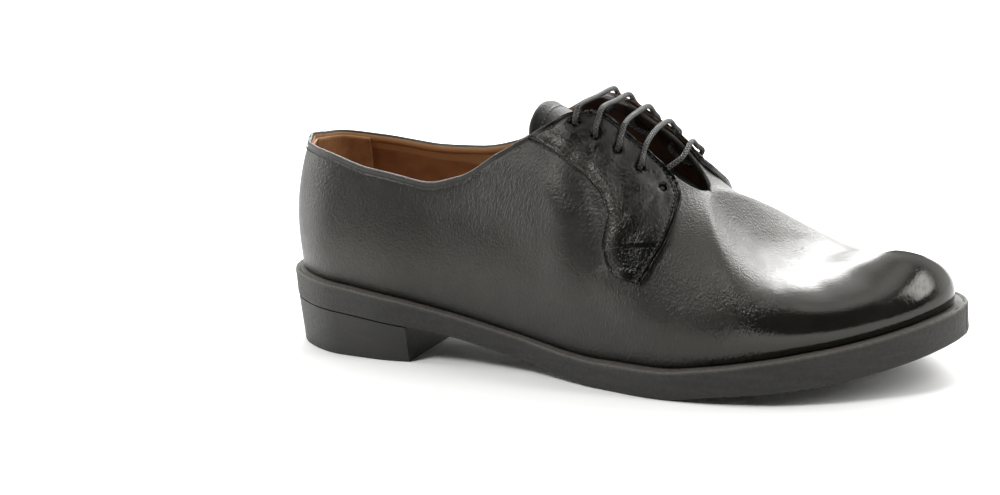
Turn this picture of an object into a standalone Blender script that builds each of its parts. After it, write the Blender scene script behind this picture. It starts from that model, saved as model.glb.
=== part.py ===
"""Right-foot lace-up derby shoe, about EU 42, standing empty on its sole.

Frame: metres, +X towards the toe, +Y towards the inner side of the foot, +Z up.
The origin is on the floor, under the middle of the shoe's length and width.
Inside the script a point is first worked out in last coordinates, where X runs
from the back of the sole; seat_in_frame moves it into the shoe's frame.
"""

import math
from collections import namedtuple

import bmesh
import bpy
import numpy as np

# Sole unit
SOLE_LENGTH = 0.300
BALL_WIDTH = 0.1055
HEEL_HEIGHT = 0.021
TOE_SPRING = 0.017
SOLE_THICKNESS = 0.0113
SOLE_CHAMFER = 0.0009
HEEL_BREAST = 0.0705
HEEL_INSET = 0.0003
HEEL_TAPER = 0.0008
HEEL_PITCH = 0.0008
LEDGE = 0.004

# Upper
UPPER_WALL = 0.002
INSTEP_RISE = 0.0922
BACKSTAY_STEP = 0.0005
BACKSTAY_HALF_WIDTH = 0.0045
BACKSTAY_BEVEL = 0.12

# Facings, tongue, insole and lace
FACING_WALL = 0.0014
FACING_GAP = 0.0004
TONGUE_WALL = 0.0026
INSOLE_THICKNESS = 0.0022
INSOLE_CLEARANCE = 0.0006
EYELET_DIAMETER = 0.0042
LACE_DIAMETER = 0.0026
LACE_LIFT = 0.0006
LACE_ARCH = 0.0002
SEAT_GAP = 0.0003

# How finely the curved pieces are faceted
SOLE_STATIONS = 44
RIB_STATIONS = 50
RIB_ROWS = 11
FACING_STATIONS = 22
FACING_COLUMNS = 8
TONGUE_STATIONS = 16
TONGUE_COLUMNS = 8
HOLE_SIDES = 10
LACE_STEP = 0.005
END_TURN = 0.012
SHARP_DEGREES = 35
WELD = 0.00001

# Small steps along a turn or a share, for working out directions
EDGE_STEP = 0.002
SLOPE_STEP = 0.004
TURN_SEARCH_STEP = 0.001

LATERAL = -1
MEDIAL = 1

# One row for each station of the sole, from the back of the heel to the toe.
# along: share of SOLE_LENGTH. half_width and swing (towards the inner side):
# shares of half of BALL_WIDTH. lift: share of HEEL_HEIGHT and spring: share of
# TOE_SPRING, added for the underside. thickness: share of SOLE_THICKNESS.
# ledge: share of LEDGE, the step from the sole's edge in to the upper.
SoleRow = namedtuple("SoleRow", "along half_width swing lift spring thickness ledge")
SOLE_ROWS = (
    SoleRow(0.000, 0.000, 0.000, 1.000, 0.00, 1.06, 0.95),
    SoleRow(0.010, 0.205, 0.000, 1.000, 0.00, 1.06, 0.95),
    SoleRow(0.040, 0.400, 0.000, 0.990, 0.00, 1.06, 1.00),
    SoleRow(0.117, 0.602, 0.000, 0.935, 0.00, 1.04, 1.00),
    SoleRow(0.200, 0.641, -0.010, 0.810, 0.00, 1.00, 1.00),
    SoleRow(0.300, 0.588, -0.038, 0.610, 0.00, 0.86, 0.85),
    SoleRow(0.400, 0.607, -0.057, 0.338, 0.00, 0.84, 0.80),
    SoleRow(0.500, 0.730, -0.066, 0.076, 0.00, 0.92, 0.90),
    SoleRow(0.545, 0.800, -0.058, 0.000, 0.00, 0.99, 1.00),
    SoleRow(0.640, 0.952, -0.020, 0.000, 0.00, 1.02, 1.10),
    SoleRow(0.717, 1.000, 0.014, 0.000, 0.16, 1.02, 1.15),
    SoleRow(0.783, 0.981, 0.033, 0.000, 0.29, 1.10, 1.20),
    SoleRow(0.850, 0.882, 0.057, 0.000, 0.435, 1.16, 1.20),
    SoleRow(0.907, 0.711, 0.066, 0.000, 0.60, 1.16, 1.25),
    SoleRow(0.957, 0.495, 0.068, 0.000, 0.80, 1.14, 1.32),
    SoleRow(0.990, 0.232, 0.070, 0.000, 0.95, 1.08, 1.38),
    SoleRow(1.000, 0.000, 0.074, 0.000, 1.00, 1.06, 1.38),
)

# One row for each rib of the upper, a curve from the sole up to the topline, the
# throat or the ridge of the vamp. foot: where it stands, 0 at the back and 1 at
# the toe. along: share of SOLE_LENGTH and out: share of half of BALL_WIDTH, for
# its upper end. rise_lateral and rise_medial: that end's height over the sole, as
# shares of INSTEP_RISE. lean: degrees from upright as it ends. aim: the heading of
# that lean, 0 forward, 90 inward, 180 back. flare: degrees outward as it starts.
# low and high: lengths of its two handles, as shares of the rib.
RibRow = namedtuple("RibRow", "foot along out rise_lateral rise_medial lean aim flare low high")
RIB_ROWS_TABLE = (
    RibRow(0.000, 0.0420, 0.000, 0.627, 0.627, 24, 0, 2, 0.36, 0.36),
    RibRow(0.100, 0.0620, 0.240, 0.622, 0.618, 22, 52, 6, 0.36, 0.36),
    RibRow(0.200, 0.1170, 0.415, 0.607, 0.591, 18, 78, 16, 0.36, 0.36),
    RibRow(0.280, 0.1930, 0.490, 0.577, 0.575, 15, 88, 20, 0.36, 0.36),
    RibRow(0.340, 0.2670, 0.508, 0.578, 0.611, 15, 90, 20, 0.36, 0.36),
    RibRow(0.400, 0.3300, 0.502, 0.645, 0.682, 18, 90, 18, 0.36, 0.36),
    RibRow(0.440, 0.3930, 0.470, 0.795, 0.835, 24, 90, 18, 0.36, 0.36),
    RibRow(0.480, 0.4570, 0.402, 0.945, 0.978, 34, 90, 18, 0.36, 0.32),
    RibRow(0.515, 0.4970, 0.295, 1.015, 1.020, 46, 90, 20, 0.36, 0.29),
    RibRow(0.540, 0.5270, 0.220, 1.005, 1.008, 50, 90, 20, 0.36, 0.26),
    RibRow(0.580, 0.5700, 0.205, 0.897, 0.925, 54, 90, 22, 0.36, 0.24),
    RibRow(0.600, 0.6000, 0.203, 0.812, 0.855, 57, 90, 23, 0.36, 0.22),
    RibRow(0.620, 0.6230, 0.185, 0.738, 0.780, 62, 90, 24, 0.36, 0.21),
    RibRow(0.640, 0.6420, 0.152, 0.687, 0.708, 70, 90, 25, 0.36, 0.20),
    RibRow(0.660, 0.6550, 0.095, 0.656, 0.660, 80, 90, 25, 0.36, 0.21),
    RibRow(0.680, 0.6630, 0.000, 0.635, 0.635, 90, 90, 25, 0.37, 0.225),
    RibRow(0.700, 0.6790, 0.000, 0.556, 0.556, 90, 90, 24, 0.38, 0.24),
    RibRow(0.720, 0.7000, 0.000, 0.462, 0.462, 90, 90, 23, 0.39, 0.24),
    RibRow(0.750, 0.7350, 0.000, 0.354, 0.354, 90, 90, 22, 0.40, 0.28),
    RibRow(0.800, 0.7900, 0.000, 0.275, 0.275, 90, 92, 20, 0.42, 0.34),
    RibRow(0.850, 0.8330, 0.000, 0.264, 0.264, 90, 98, 18, 0.42, 0.39),
    RibRow(0.900, 0.8670, 0.000, 0.276, 0.276, 90, 112, 16, 0.43, 0.43),
    RibRow(0.950, 0.8950, 0.000, 0.286, 0.286, 90, 142, 14, 0.44, 0.45),
    RibRow(1.000, 0.9120, 0.000, 0.288, 0.288, 90, 180, 12, 0.46, 0.46),
)

# One row for each line across a facing, from the topline down to its pointed foot.
# down: share of the way. The rear and front ends of the line are places on the
# upper: turn as a rib's foot, share as the part of that rib.
FacingRow = namedtuple("FacingRow", "down rear_turn rear_share front_turn front_share")
FACING_ROWS = (
    FacingRow(0.00, 0.466, 0.975, 0.528, 0.985),
    FacingRow(0.12, 0.490, 0.862, 0.556, 0.985),
    FacingRow(0.25, 0.516, 0.754, 0.583, 0.985),
    FacingRow(0.37, 0.539, 0.676, 0.606, 0.985),
    FacingRow(0.47, 0.555, 0.618, 0.625, 0.950),
    FacingRow(0.56, 0.559, 0.558, 0.634, 0.850),
    FacingRow(0.66, 0.556, 0.500, 0.630, 0.720),
    FacingRow(0.77, 0.553, 0.445, 0.621, 0.600),
    FacingRow(0.89, 0.555, 0.387, 0.604, 0.460),
    FacingRow(1.00, 0.562, 0.352, 0.589, 0.350),
)

# One row for each pair of eyelets, from the top: the rib's foot and the share of it.
EyeletRow = namedtuple("EyeletRow", "turn share")
EYELET_ROWS = (
    EyeletRow(0.517, 0.930),
    EyeletRow(0.541, 0.868),
    EyeletRow(0.567, 0.858),
    EyeletRow(0.590, 0.850),
    EyeletRow(0.612, 0.835),
)
RETURN_RUN_DROP = 0.085
LACE_LEAD = 0.012

# One row for each station of the tongue, from its root under the vamp to its top.
# along: share of SOLE_LENGTH. rise: height of its crown over the sole, a share of
# INSTEP_RISE. half_width and bend, the radius across: shares of half of BALL_WIDTH.
TongueRow = namedtuple("TongueRow", "down along rise half_width bend")
TONGUE_ROWS = (
    TongueRow(0.00, 0.6920, 0.448, 0.200, 0.270),
    TongueRow(0.12, 0.6600, 0.595, 0.270, 0.320),
    TongueRow(0.35, 0.6000, 0.722, 0.350, 0.470),
    TongueRow(0.55, 0.5500, 0.815, 0.390, 0.560),
    TongueRow(0.75, 0.5000, 0.890, 0.390, 0.560),
    TongueRow(0.90, 0.4600, 0.943, 0.370, 0.480),
    TongueRow(0.96, 0.4350, 0.978, 0.365, 0.405),
    TongueRow(1.00, 0.4240, 0.990, 0.345, 0.385),
)


def smooth_table(rows, stations):
    """Return a function that reads every column of a table smoothly and without overshoot."""
    xs = np.asarray(stations, float)
    ys = np.asarray(rows, float)
    steps = np.diff(xs)[:, None]
    slopes = np.diff(ys, axis=0) / steps
    tangents = np.zeros_like(ys)
    tangents[0] = slopes[0]
    tangents[-1] = slopes[-1]
    before, after = steps[:-1], steps[1:]
    near, far = slopes[:-1], slopes[1:]
    same_way = near * far > 0
    weight_near = 2 * after + before
    weight_far = after + 2 * before
    safe_near = np.where(same_way, near, 1.0)
    safe_far = np.where(same_way, far, 1.0)
    blended = (weight_near + weight_far) / (weight_near / safe_near + weight_far / safe_far)
    tangents[1:-1] = np.where(same_way, blended, 0.0)

    def read(x):
        x = min(max(x, xs[0]), xs[-1])
        index = min(int(np.searchsorted(xs, x, side="right")) - 1, len(xs) - 2)
        width = xs[index + 1] - xs[index]
        t = (x - xs[index]) / width
        start = (1 + 2 * t) * (1 - t) ** 2
        end = t * t * (3 - 2 * t)
        lead = t * (1 - t) ** 2 * width
        trail = t * t * (t - 1) * width
        return (start * ys[index] + end * ys[index + 1]
                + lead * tangents[index] + trail * tangents[index + 1])

    return read


def turn_at(along):
    """Return the share of a half turn that stands for a share of the sole's length."""
    return math.acos(1 - 2 * along) / math.pi


def along_at(turn):
    """Return the share of the sole's length that stands for a share of a half turn."""
    return (1 - math.cos(math.pi * turn)) / 2


read_outline = smooth_table([(row.half_width, row.swing, row.ledge) for row in SOLE_ROWS],
                            [turn_at(row.along) for row in SOLE_ROWS])
read_sole_side = smooth_table([(row.lift, row.spring, row.thickness) for row in SOLE_ROWS],
                              [row.along for row in SOLE_ROWS])
read_rib = smooth_table([row[1:] for row in RIB_ROWS_TABLE], [row.foot for row in RIB_ROWS_TABLE])
read_facing = smooth_table([row[1:] for row in FACING_ROWS], [row.down for row in FACING_ROWS])
read_tongue = smooth_table([row[1:] for row in TONGUE_ROWS], [row.down for row in TONGUE_ROWS])


def sole_under(x):
    """Return the height of the sole's underside over the floor."""
    lift, spring, _ = read_sole_side(x / SOLE_LENGTH)
    return HEEL_HEIGHT * lift + TOE_SPRING * spring


def sole_top(x):
    """Return the height of the sole's upper face over the floor."""
    return sole_under(x) + SOLE_THICKNESS * read_sole_side(x / SOLE_LENGTH)[2]


def sole_edge(turn, side):
    """Return the plan point of the sole's edge on one side."""
    half_width, swing, _ = read_outline(turn)
    x = SOLE_LENGTH * along_at(turn)
    y = BALL_WIDTH / 2 * (swing + side * half_width)
    return np.array((x, y))


def edge_normal(turn, side):
    """Return the plan direction that points out of the sole's edge."""
    ahead = sole_edge(min(turn + EDGE_STEP, 1.0), side)
    behind = sole_edge(max(turn - EDGE_STEP, 0.0), side)
    if turn < EDGE_STEP or turn > 1 - EDGE_STEP:
        return np.array((-1.0 if turn < 0.5 else 1.0, 0.0))
    run = (ahead - behind) / np.linalg.norm(ahead - behind)
    return np.array((-run[1], run[0])) * side


def inset_edge(turn, side, inset):
    """Return the sole's edge moved inward by a distance."""
    return sole_edge(turn, side) - inset * edge_normal(turn, side)


def feather_point(turn, side):
    """Return where the upper's outer face stands on the sole."""
    x, y = inset_edge(turn, side, LEDGE * read_outline(turn)[2])
    return np.array((x, y, sole_top(x) + SEAT_GAP))


def rib_handles(turn, side):
    """Return the four control points of one rib of the upper."""
    along, out, rise_lateral, rise_medial, lean, aim, flare, low, high = read_rib(turn)
    foot = feather_point(turn, side)
    outward = np.append(edge_normal(turn, side), 0.0)
    x = SOLE_LENGTH * along
    rise = INSTEP_RISE * (rise_lateral if side == LATERAL else rise_medial)
    end = np.array((x, side * out * BALL_WIDTH / 2, sole_top(x) + rise))
    lean, aim, flare = math.radians(lean), math.radians(aim), math.radians(flare)
    heading = np.array((math.cos(aim), -side * math.sin(aim), 0.0))
    arrive = heading * math.sin(lean) + np.array((0.0, 0.0, math.cos(lean)))
    leave = outward * math.sin(flare) + np.array((0.0, 0.0, math.cos(flare)))
    length = np.linalg.norm(end - foot)
    return foot, foot + leave * length * low, end - arrive * length * high, end


def last_point(turn, side, share):
    """Return a point of the upper's outer face, share 0 at the sole and 1 at its top."""
    first, second, third, fourth = rib_handles(turn, side)
    rest = 1 - share
    return (rest ** 3 * first + 3 * rest ** 2 * share * second
            + 3 * rest * share ** 2 * third + share ** 3 * fourth)


def last_normal(turn, side, share):
    """Return the direction that points out of the upper's outer face."""
    low, high = max(share - SLOPE_STEP, 0.0), min(share + SLOPE_STEP, 1.0)
    up = last_point(turn, side, high) - last_point(turn, side, low)
    behind, ahead = max(turn - SLOPE_STEP, 0.0), min(turn + SLOPE_STEP, 1.0)
    forward = last_point(ahead, side, share) - last_point(behind, side, share)
    normal = np.cross(up, forward) * side
    return normal / np.linalg.norm(normal)


def sole_turns(start, end, count):
    """Return evenly spaced stations between two shares of a half turn."""
    return [start + (end - start) * index / (count - 1) for index in range(count)]


TURNS = sole_turns(END_TURN, 1 - END_TURN, SOLE_STATIONS)
SIDE_SHIFT = (max(sole_edge(turn, MEDIAL)[1] for turn in TURNS)
              + min(sole_edge(turn, LATERAL)[1] for turn in TURNS)) / 2


def seat_in_frame(point):
    """Move a point from last coordinates into the shoe's frame."""
    return (point[0] - SOLE_LENGTH / 2, point[1] - SIDE_SHIFT, point[2])


def make_material(name, colour, roughness, metallic=0.0):
    """Return a plain Principled material."""
    material = bpy.data.materials.new(name)
    material.use_nodes = True
    shader = material.node_tree.nodes["Principled BSDF"]
    shader.inputs["Base Color"].default_value = (*colour, 1.0)
    shader.inputs["Roughness"].default_value = roughness
    shader.inputs["Metallic"].default_value = metallic
    material.diffuse_color = (*colour, 1.0)
    return material


def add_object(name, bm, material):
    """Turn a bmesh into a named, smooth-shaded object."""
    mesh = bpy.data.meshes.new(name)
    bm.to_mesh(mesh)
    bm.free()
    mesh.materials.append(material)
    mesh.shade_smooth()
    mesh.set_sharp_from_angle(angle=math.radians(SHARP_DEGREES))
    made = bpy.data.objects.new(name, mesh)
    bpy.context.scene.collection.objects.link(made)
    return made


def skin_rings(rings):
    """Return a bmesh of a closed tube through rings of points, all of the same count."""
    bm = bmesh.new()
    loops = [[bm.verts.new(seat_in_frame(point)) for point in ring] for ring in rings]
    count = len(rings[0])
    for first, second in zip(loops, loops[1:]):
        for index in range(count):
            after = (index + 1) % count
            bm.faces.new((first[index], first[after], second[after], second[index]))
    bm.faces.new(loops[0][::-1])
    bm.faces.new(loops[-1])
    bmesh.ops.recalc_face_normals(bm, faces=bm.faces)
    return bm


def sole_ring(turn, insets_and_heights):
    """Return a ring across the sole: each level gives an inset and a height function."""
    lateral, medial = [], []
    for inset, height in insets_and_heights:
        for side, points in ((LATERAL, lateral), (MEDIAL, medial)):
            x, y = inset_edge(turn, side, inset)
            points.append((x, y, height(x)))
    return lateral + medial[::-1]


def build_outsole(material):
    """Make the sole with its ledge, waist, toe spring and chamfered edges."""
    levels = (
        (SOLE_CHAMFER, sole_under),
        (0.0, lambda x: sole_under(x) + SOLE_CHAMFER),
        (0.0, lambda x: sole_top(x) - SOLE_CHAMFER),
        (SOLE_CHAMFER, sole_top),
    )
    rings = [sole_ring(turn, levels) for turn in TURNS]
    return add_object("outsole", skin_rings(rings), material)


def build_heel(material):
    """Make the heel block under the seat, with a straight breast."""
    breast = turn_at(HEEL_BREAST / SOLE_LENGTH)
    stations = sole_turns(END_TURN, breast, SOLE_STATIONS // 2)

    def ring(turn):
        back = 1 - turn / breast
        foot_inset = HEEL_INSET + HEEL_TAPER + (HEEL_PITCH - HEEL_TAPER) * back ** 2
        edge = SOLE_CHAMFER / 2
        levels = (
            (foot_inset + edge, lambda x: 0.0),
            (foot_inset, lambda x: edge),
            (HEEL_INSET, lambda x: sole_under(x) - SEAT_GAP),
        )
        return sole_ring(turn, levels)

    return add_object("heel", skin_rings([ring(turn) for turn in stations]), material)


def build_insole(material):
    """Make the insole inside the foot of the upper."""
    def ring(turn):
        inset = LEDGE * read_outline(turn)[2] + UPPER_WALL + INSOLE_CLEARANCE
        levels = (
            (inset, lambda x: sole_top(x) + SEAT_GAP),
            (inset, lambda x: sole_top(x) + SEAT_GAP + INSOLE_THICKNESS),
        )
        return sole_ring(turn, levels)

    return add_object("insole", skin_rings([ring(turn) for turn in TURNS]), material)


def backstay_turn():
    """Return how far round the back the raised strip reaches, as a rib's foot."""
    turn = 0.0
    while abs(feather_point(turn, MEDIAL)[1]) < BACKSTAY_HALF_WIDTH:
        turn += TURN_SEARCH_STEP
    return turn


def off_last(turn, side, share, offset):
    """Return a point at a distance from the upper's outer face."""
    return last_point(turn, side, share) + offset * last_normal(turn, side, share)


def sheet_object(name, grid, material, thickness, offset):
    """Make a sheet from a grid of points and give it its wall."""
    bm = bmesh.new()
    columns = [[bm.verts.new(seat_in_frame(point)) for point in column] for column in grid]
    for first, second in zip(columns, columns[1:]):
        for row in range(len(first) - 1):
            bm.faces.new((first[row], second[row], second[row + 1], first[row + 1]))
    bmesh.ops.recalc_face_normals(bm, faces=bm.faces)
    made = add_object(name, bm, material)
    if made.data.polygons[0].normal.z < 0:
        made.data.flip_normals()
    wall = made.modifiers.new("wall", "SOLIDIFY")
    wall.thickness = thickness
    wall.offset = offset
    return made


def cut_eyelets(piece, cutters):
    """Cut the eyelet holes out of a piece."""
    for cutter in cutters:
        cut = piece.modifiers.new(cutter.name, "BOOLEAN")
        cut.operation = "DIFFERENCE"
        cut.solver = "EXACT"
        cut.object = cutter


def build_eyelet_cutter(name, turn, side, share):
    """Make the pin that cuts one eyelet through facing and upper."""
    reach = 4 * (UPPER_WALL + FACING_WALL)
    axis = last_normal(turn, side, share)
    middle = last_point(turn, side, share)
    across = np.cross(axis, (1.0, 0.0, 0.0))
    across /= np.linalg.norm(across)
    other = np.cross(axis, across)
    rings = []
    for end in (-reach, reach):
        ring = []
        for index in range(HOLE_SIDES):
            angle = 2 * math.pi * index / HOLE_SIDES
            spoke = math.cos(angle) * across + math.sin(angle) * other
            ring.append(middle + end * axis + EYELET_DIAMETER / 2 * spoke)
        rings.append(ring)
    bm = skin_rings(rings)
    mesh = bpy.data.meshes.new(name)
    bm.to_mesh(mesh)
    bm.free()
    cutter = bpy.data.objects.new(name, mesh)
    bpy.context.scene.collection.objects.link(cutter)
    cutter.hide_render = True
    cutter.display_type = "WIRE"
    return cutter


def build_upper(material):
    """Make the hollow upper: one sheet over the last, given its wall inward."""
    bm = bmesh.new()
    columns = []
    strip = backstay_turn()
    side_turns = sorted({index / RIB_STATIONS for index in range(RIB_STATIONS + 1)}
                        | {strip, strip * (1 + BACKSTAY_BEVEL)})
    route = [(turn, LATERAL) for turn in side_turns]
    route += [(turn, MEDIAL) for turn in side_turns[-2:0:-1]]
    for turn, side in route:
        step = BACKSTAY_STEP if turn <= strip else 0.0
        column = []
        for row in range(RIB_ROWS + 1):
            point = off_last(turn, side, row / RIB_ROWS, step)
            column.append(bm.verts.new(seat_in_frame(point)))
        columns.append(column)
    for first, second in zip(columns, columns[1:] + columns[:1]):
        for row in range(RIB_ROWS):
            bm.faces.new((first[row], second[row], second[row + 1], first[row + 1]))
    bmesh.ops.remove_doubles(bm, verts=bm.verts, dist=WELD)
    bmesh.ops.recalc_face_normals(bm, faces=bm.faces)
    upper = add_object("upper", bm, material)
    wall = upper.modifiers.new("wall", "SOLIDIFY")
    wall.thickness = UPPER_WALL
    wall.offset = -1.0
    return upper


def build_facing(name, side, material):
    """Make one eyelet facing, a plate that lies on the upper's outer face."""
    grid = []
    for station in range(FACING_STATIONS + 1):
        rear_turn, rear_share, front_turn, front_share = read_facing(station / FACING_STATIONS)
        line = []
        for column in range(FACING_COLUMNS + 1):
            across = column / FACING_COLUMNS
            turn = rear_turn + (front_turn - rear_turn) * across
            share = rear_share + (front_share - rear_share) * across
            line.append(off_last(turn, side, share, FACING_GAP))
        grid.append(line)
    return sheet_object(name, grid, material, FACING_WALL, 1.0)


def tongue_point(down, across):
    """Return a point of the tongue's outer face; across runs from -1 to 1."""
    along, rise, half_width, bend = read_tongue(down)
    x = SOLE_LENGTH * along
    y = across * half_width * BALL_WIDTH / 2
    radius = bend * BALL_WIDTH / 2
    drop = radius - math.sqrt(radius ** 2 - y ** 2)
    return np.array((x, y, sole_top(x) + INSTEP_RISE * rise - drop))


def build_tongue(material):
    """Make the tongue, from its root under the vamp up past the topline."""
    grid = []
    for station in range(TONGUE_STATIONS + 1):
        down = station / TONGUE_STATIONS
        grid.append([tongue_point(down, 2 * column / TONGUE_COLUMNS - 1)
                     for column in range(TONGUE_COLUMNS + 1)])
    return sheet_object("tongue", grid, material, TONGUE_WALL, -1.0)


def through_eyelet(row, side, outward):
    """Return the lace's points through one eyelet, from inside out or back."""
    inside = UPPER_WALL + LACE_DIAMETER / 2 + LACE_LIFT
    outside = FACING_GAP + FACING_WALL + LACE_DIAMETER / 2 + LACE_LIFT
    points = [off_last(row.turn, side, row.share, -inside),
              off_last(row.turn, side, row.share, (outside - inside) / 2),
              off_last(row.turn, side, row.share + LACE_LEAD, outside)]
    return points if outward else points[::-1]


def over_throat(row, start_side, tucked=False):
    """Return the points of a bar over the throat; tucked starts under the edge."""
    outside = FACING_GAP + FACING_WALL + LACE_DIAMETER / 2 + LACE_LIFT
    inside = UPPER_WALL + LACE_DIAMETER / 2 + LACE_LIFT
    middle_share = (row.share + 1) / 2
    first = off_last(row.turn, start_side, 1.0, outside)
    last = off_last(row.turn, -start_side, 1.0, outside)
    crown = (first + last) / 2
    crown[2] = max(first[2], last[2]) + LACE_ARCH
    if tucked:
        edge = off_last(row.turn, start_side, 1.0, -inside)
        crown[2] = (edge[2] + last[2]) / 2 + LACE_ARCH
        return [off_last(row.turn, start_side, middle_share, -inside), edge, crown, last,
                off_last(row.turn, -start_side, middle_share, outside)]
    return [off_last(row.turn, start_side, middle_share, outside), first, crown, last,
            off_last(row.turn, -start_side, middle_share, outside)]


def lace_route():
    """Return the lace's route: up one hidden run, then bar after bar to the top."""
    inside = UPPER_WALL + LACE_DIAMETER / 2 + LACE_LIFT
    points = [off_last(row.turn, LATERAL, row.share - RETURN_RUN_DROP, -inside)
              for row in EYELET_ROWS[:-1]]
    lowest = EYELET_ROWS[-1]
    points.append(off_last(lowest.turn, LATERAL, lowest.share, -inside))
    side = LATERAL
    for index, row in enumerate(reversed(EYELET_ROWS)):
        if index > 0:
            points += through_eyelet(row, side, True)
        points += over_throat(row, side, tucked=index == 0)
        side = -side
        points += through_eyelet(row, side, False)
    end = EYELET_ROWS[0]
    points.append(off_last(end.turn, side, end.share, -inside - LACE_DIAMETER / 2))
    return points


def smooth_path(route, step):
    """Return points along a smooth curve through a route."""
    ends = [2 * route[0] - route[1]] + list(route) + [2 * route[-1] - route[-2]]
    path = [route[0]]
    for before, start, end, after in zip(ends, ends[1:], ends[2:], ends[3:]):
        pieces = max(1, round(np.linalg.norm(end - start) / step))
        gaps = [math.sqrt(np.linalg.norm(b - a)) for a, b in
                ((before, start), (start, end), (end, after))]
        leave = ((start - before) / gaps[0] - (end - before) / (gaps[0] + gaps[1])
                 + (end - start) / gaps[1]) * gaps[1]
        arrive = ((end - start) / gaps[1] - (after - start) / (gaps[1] + gaps[2])
                  + (after - end) / gaps[2]) * gaps[1]
        for index in range(1, pieces + 1):
            t = index / pieces
            path.append((1 + 2 * t) * (1 - t) ** 2 * start + t * (1 - t) ** 2 * leave
                        + t * t * (3 - 2 * t) * end + t * t * (t - 1) * arrive)
    return path


def build_lace(material):
    """Make the lace: its bars and hidden runs as one round cord."""
    path = smooth_path(lace_route(), LACE_STEP)
    curve = bpy.data.curves.new("lace", "CURVE")
    curve.dimensions = "3D"
    curve.bevel_depth = LACE_DIAMETER / 2
    curve.bevel_resolution = 2
    curve.use_fill_caps = True
    spline = curve.splines.new("POLY")
    spline.points.add(len(path) - 1)
    for point, place in zip(spline.points, path):
        point.co = (*seat_in_frame(place), 1.0)
    curve.materials.append(material)
    lace = bpy.data.objects.new("lace", curve)
    bpy.context.scene.collection.objects.link(lace)
    return lace


def main():
    """Clear the scene and build every piece of the shoe."""
    for existing in list(bpy.data.objects):
        bpy.data.objects.remove(existing, do_unlink=True)
    calf = make_material("black_calf", (0.045, 0.043, 0.038), 0.42)
    facing_calf = make_material("facing_calf", (0.020, 0.019, 0.018), 0.30)
    edge = make_material("sole_edge", (0.050, 0.045, 0.038), 0.60)
    lining = make_material("lining", (0.33, 0.16, 0.07), 0.60)
    waxed_cord = make_material("waxed_cord", (0.060, 0.057, 0.050), 0.65)
    build_outsole(edge)
    build_heel(edge)
    build_insole(lining)
    upper = build_upper(calf)
    build_tongue(calf)
    for name, side in (("facing_lateral", LATERAL), ("facing_medial", MEDIAL)):
        facing = build_facing(name, side, facing_calf)
        cutters = [build_eyelet_cutter(f"{name}_eyelet_{index}", row.turn, side, row.share)
                   for index, row in enumerate(EYELET_ROWS)]
        cut_eyelets(facing, cutters)
        cut_eyelets(upper, cutters)
    build_lace(waxed_cord)


main()
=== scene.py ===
"""Right-foot lace-up derby shoe in near-black calf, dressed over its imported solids.

Frame: metres, +X towards the toe, +Y towards the inner side of the foot, +Z up.
The shoe's surfaces are worked out in last coordinates, where X runs from the back
of the sole, and Last.seat moves them into the frame.
"""

import logging
import math
from dataclasses import dataclass
from enum import Enum
from functools import lru_cache
from typing import Callable, NamedTuple, Sequence

import bmesh
import bpy
import numpy as np
from mathutils import Matrix, Vector


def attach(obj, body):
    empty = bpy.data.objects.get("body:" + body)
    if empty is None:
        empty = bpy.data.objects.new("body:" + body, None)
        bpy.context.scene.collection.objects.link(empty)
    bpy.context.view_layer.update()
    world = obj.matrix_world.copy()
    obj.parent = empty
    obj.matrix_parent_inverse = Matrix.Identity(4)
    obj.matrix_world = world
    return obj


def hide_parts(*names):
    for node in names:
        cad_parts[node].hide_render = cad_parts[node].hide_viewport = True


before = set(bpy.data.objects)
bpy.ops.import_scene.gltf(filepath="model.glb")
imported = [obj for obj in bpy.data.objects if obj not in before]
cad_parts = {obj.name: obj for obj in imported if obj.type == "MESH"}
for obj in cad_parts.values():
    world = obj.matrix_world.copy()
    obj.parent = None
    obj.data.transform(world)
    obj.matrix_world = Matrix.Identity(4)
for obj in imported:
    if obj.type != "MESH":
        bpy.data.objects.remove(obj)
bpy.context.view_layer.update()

LOG = logging.getLogger("derby")
BODY = "root"
WELD = 0.00001
EDGE_STEP = 0.002
SLOPE_STEP = 0.004
UPPER_WALL = 0.002
FACING_WALL = 0.0014
FACING_GAP = 0.0004
EYELET_RADIUS = 0.0017
STITCH_LIFT = 0.0001
NOISE_SPAN = (0.3, 0.7)

Colour = tuple[float, float, float]


class Side(Enum):
    """The two sides of the foot, by the sign of their Y."""

    LATERAL = -1
    MEDIAL = 1


class SoleRow(NamedTuple):
    """One station of the sole, from the heel's back to the toe, as shares of the named sizes."""

    along: float
    half_width: float
    swing: float
    lift: float
    spring: float
    thickness: float
    ledge: float


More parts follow.
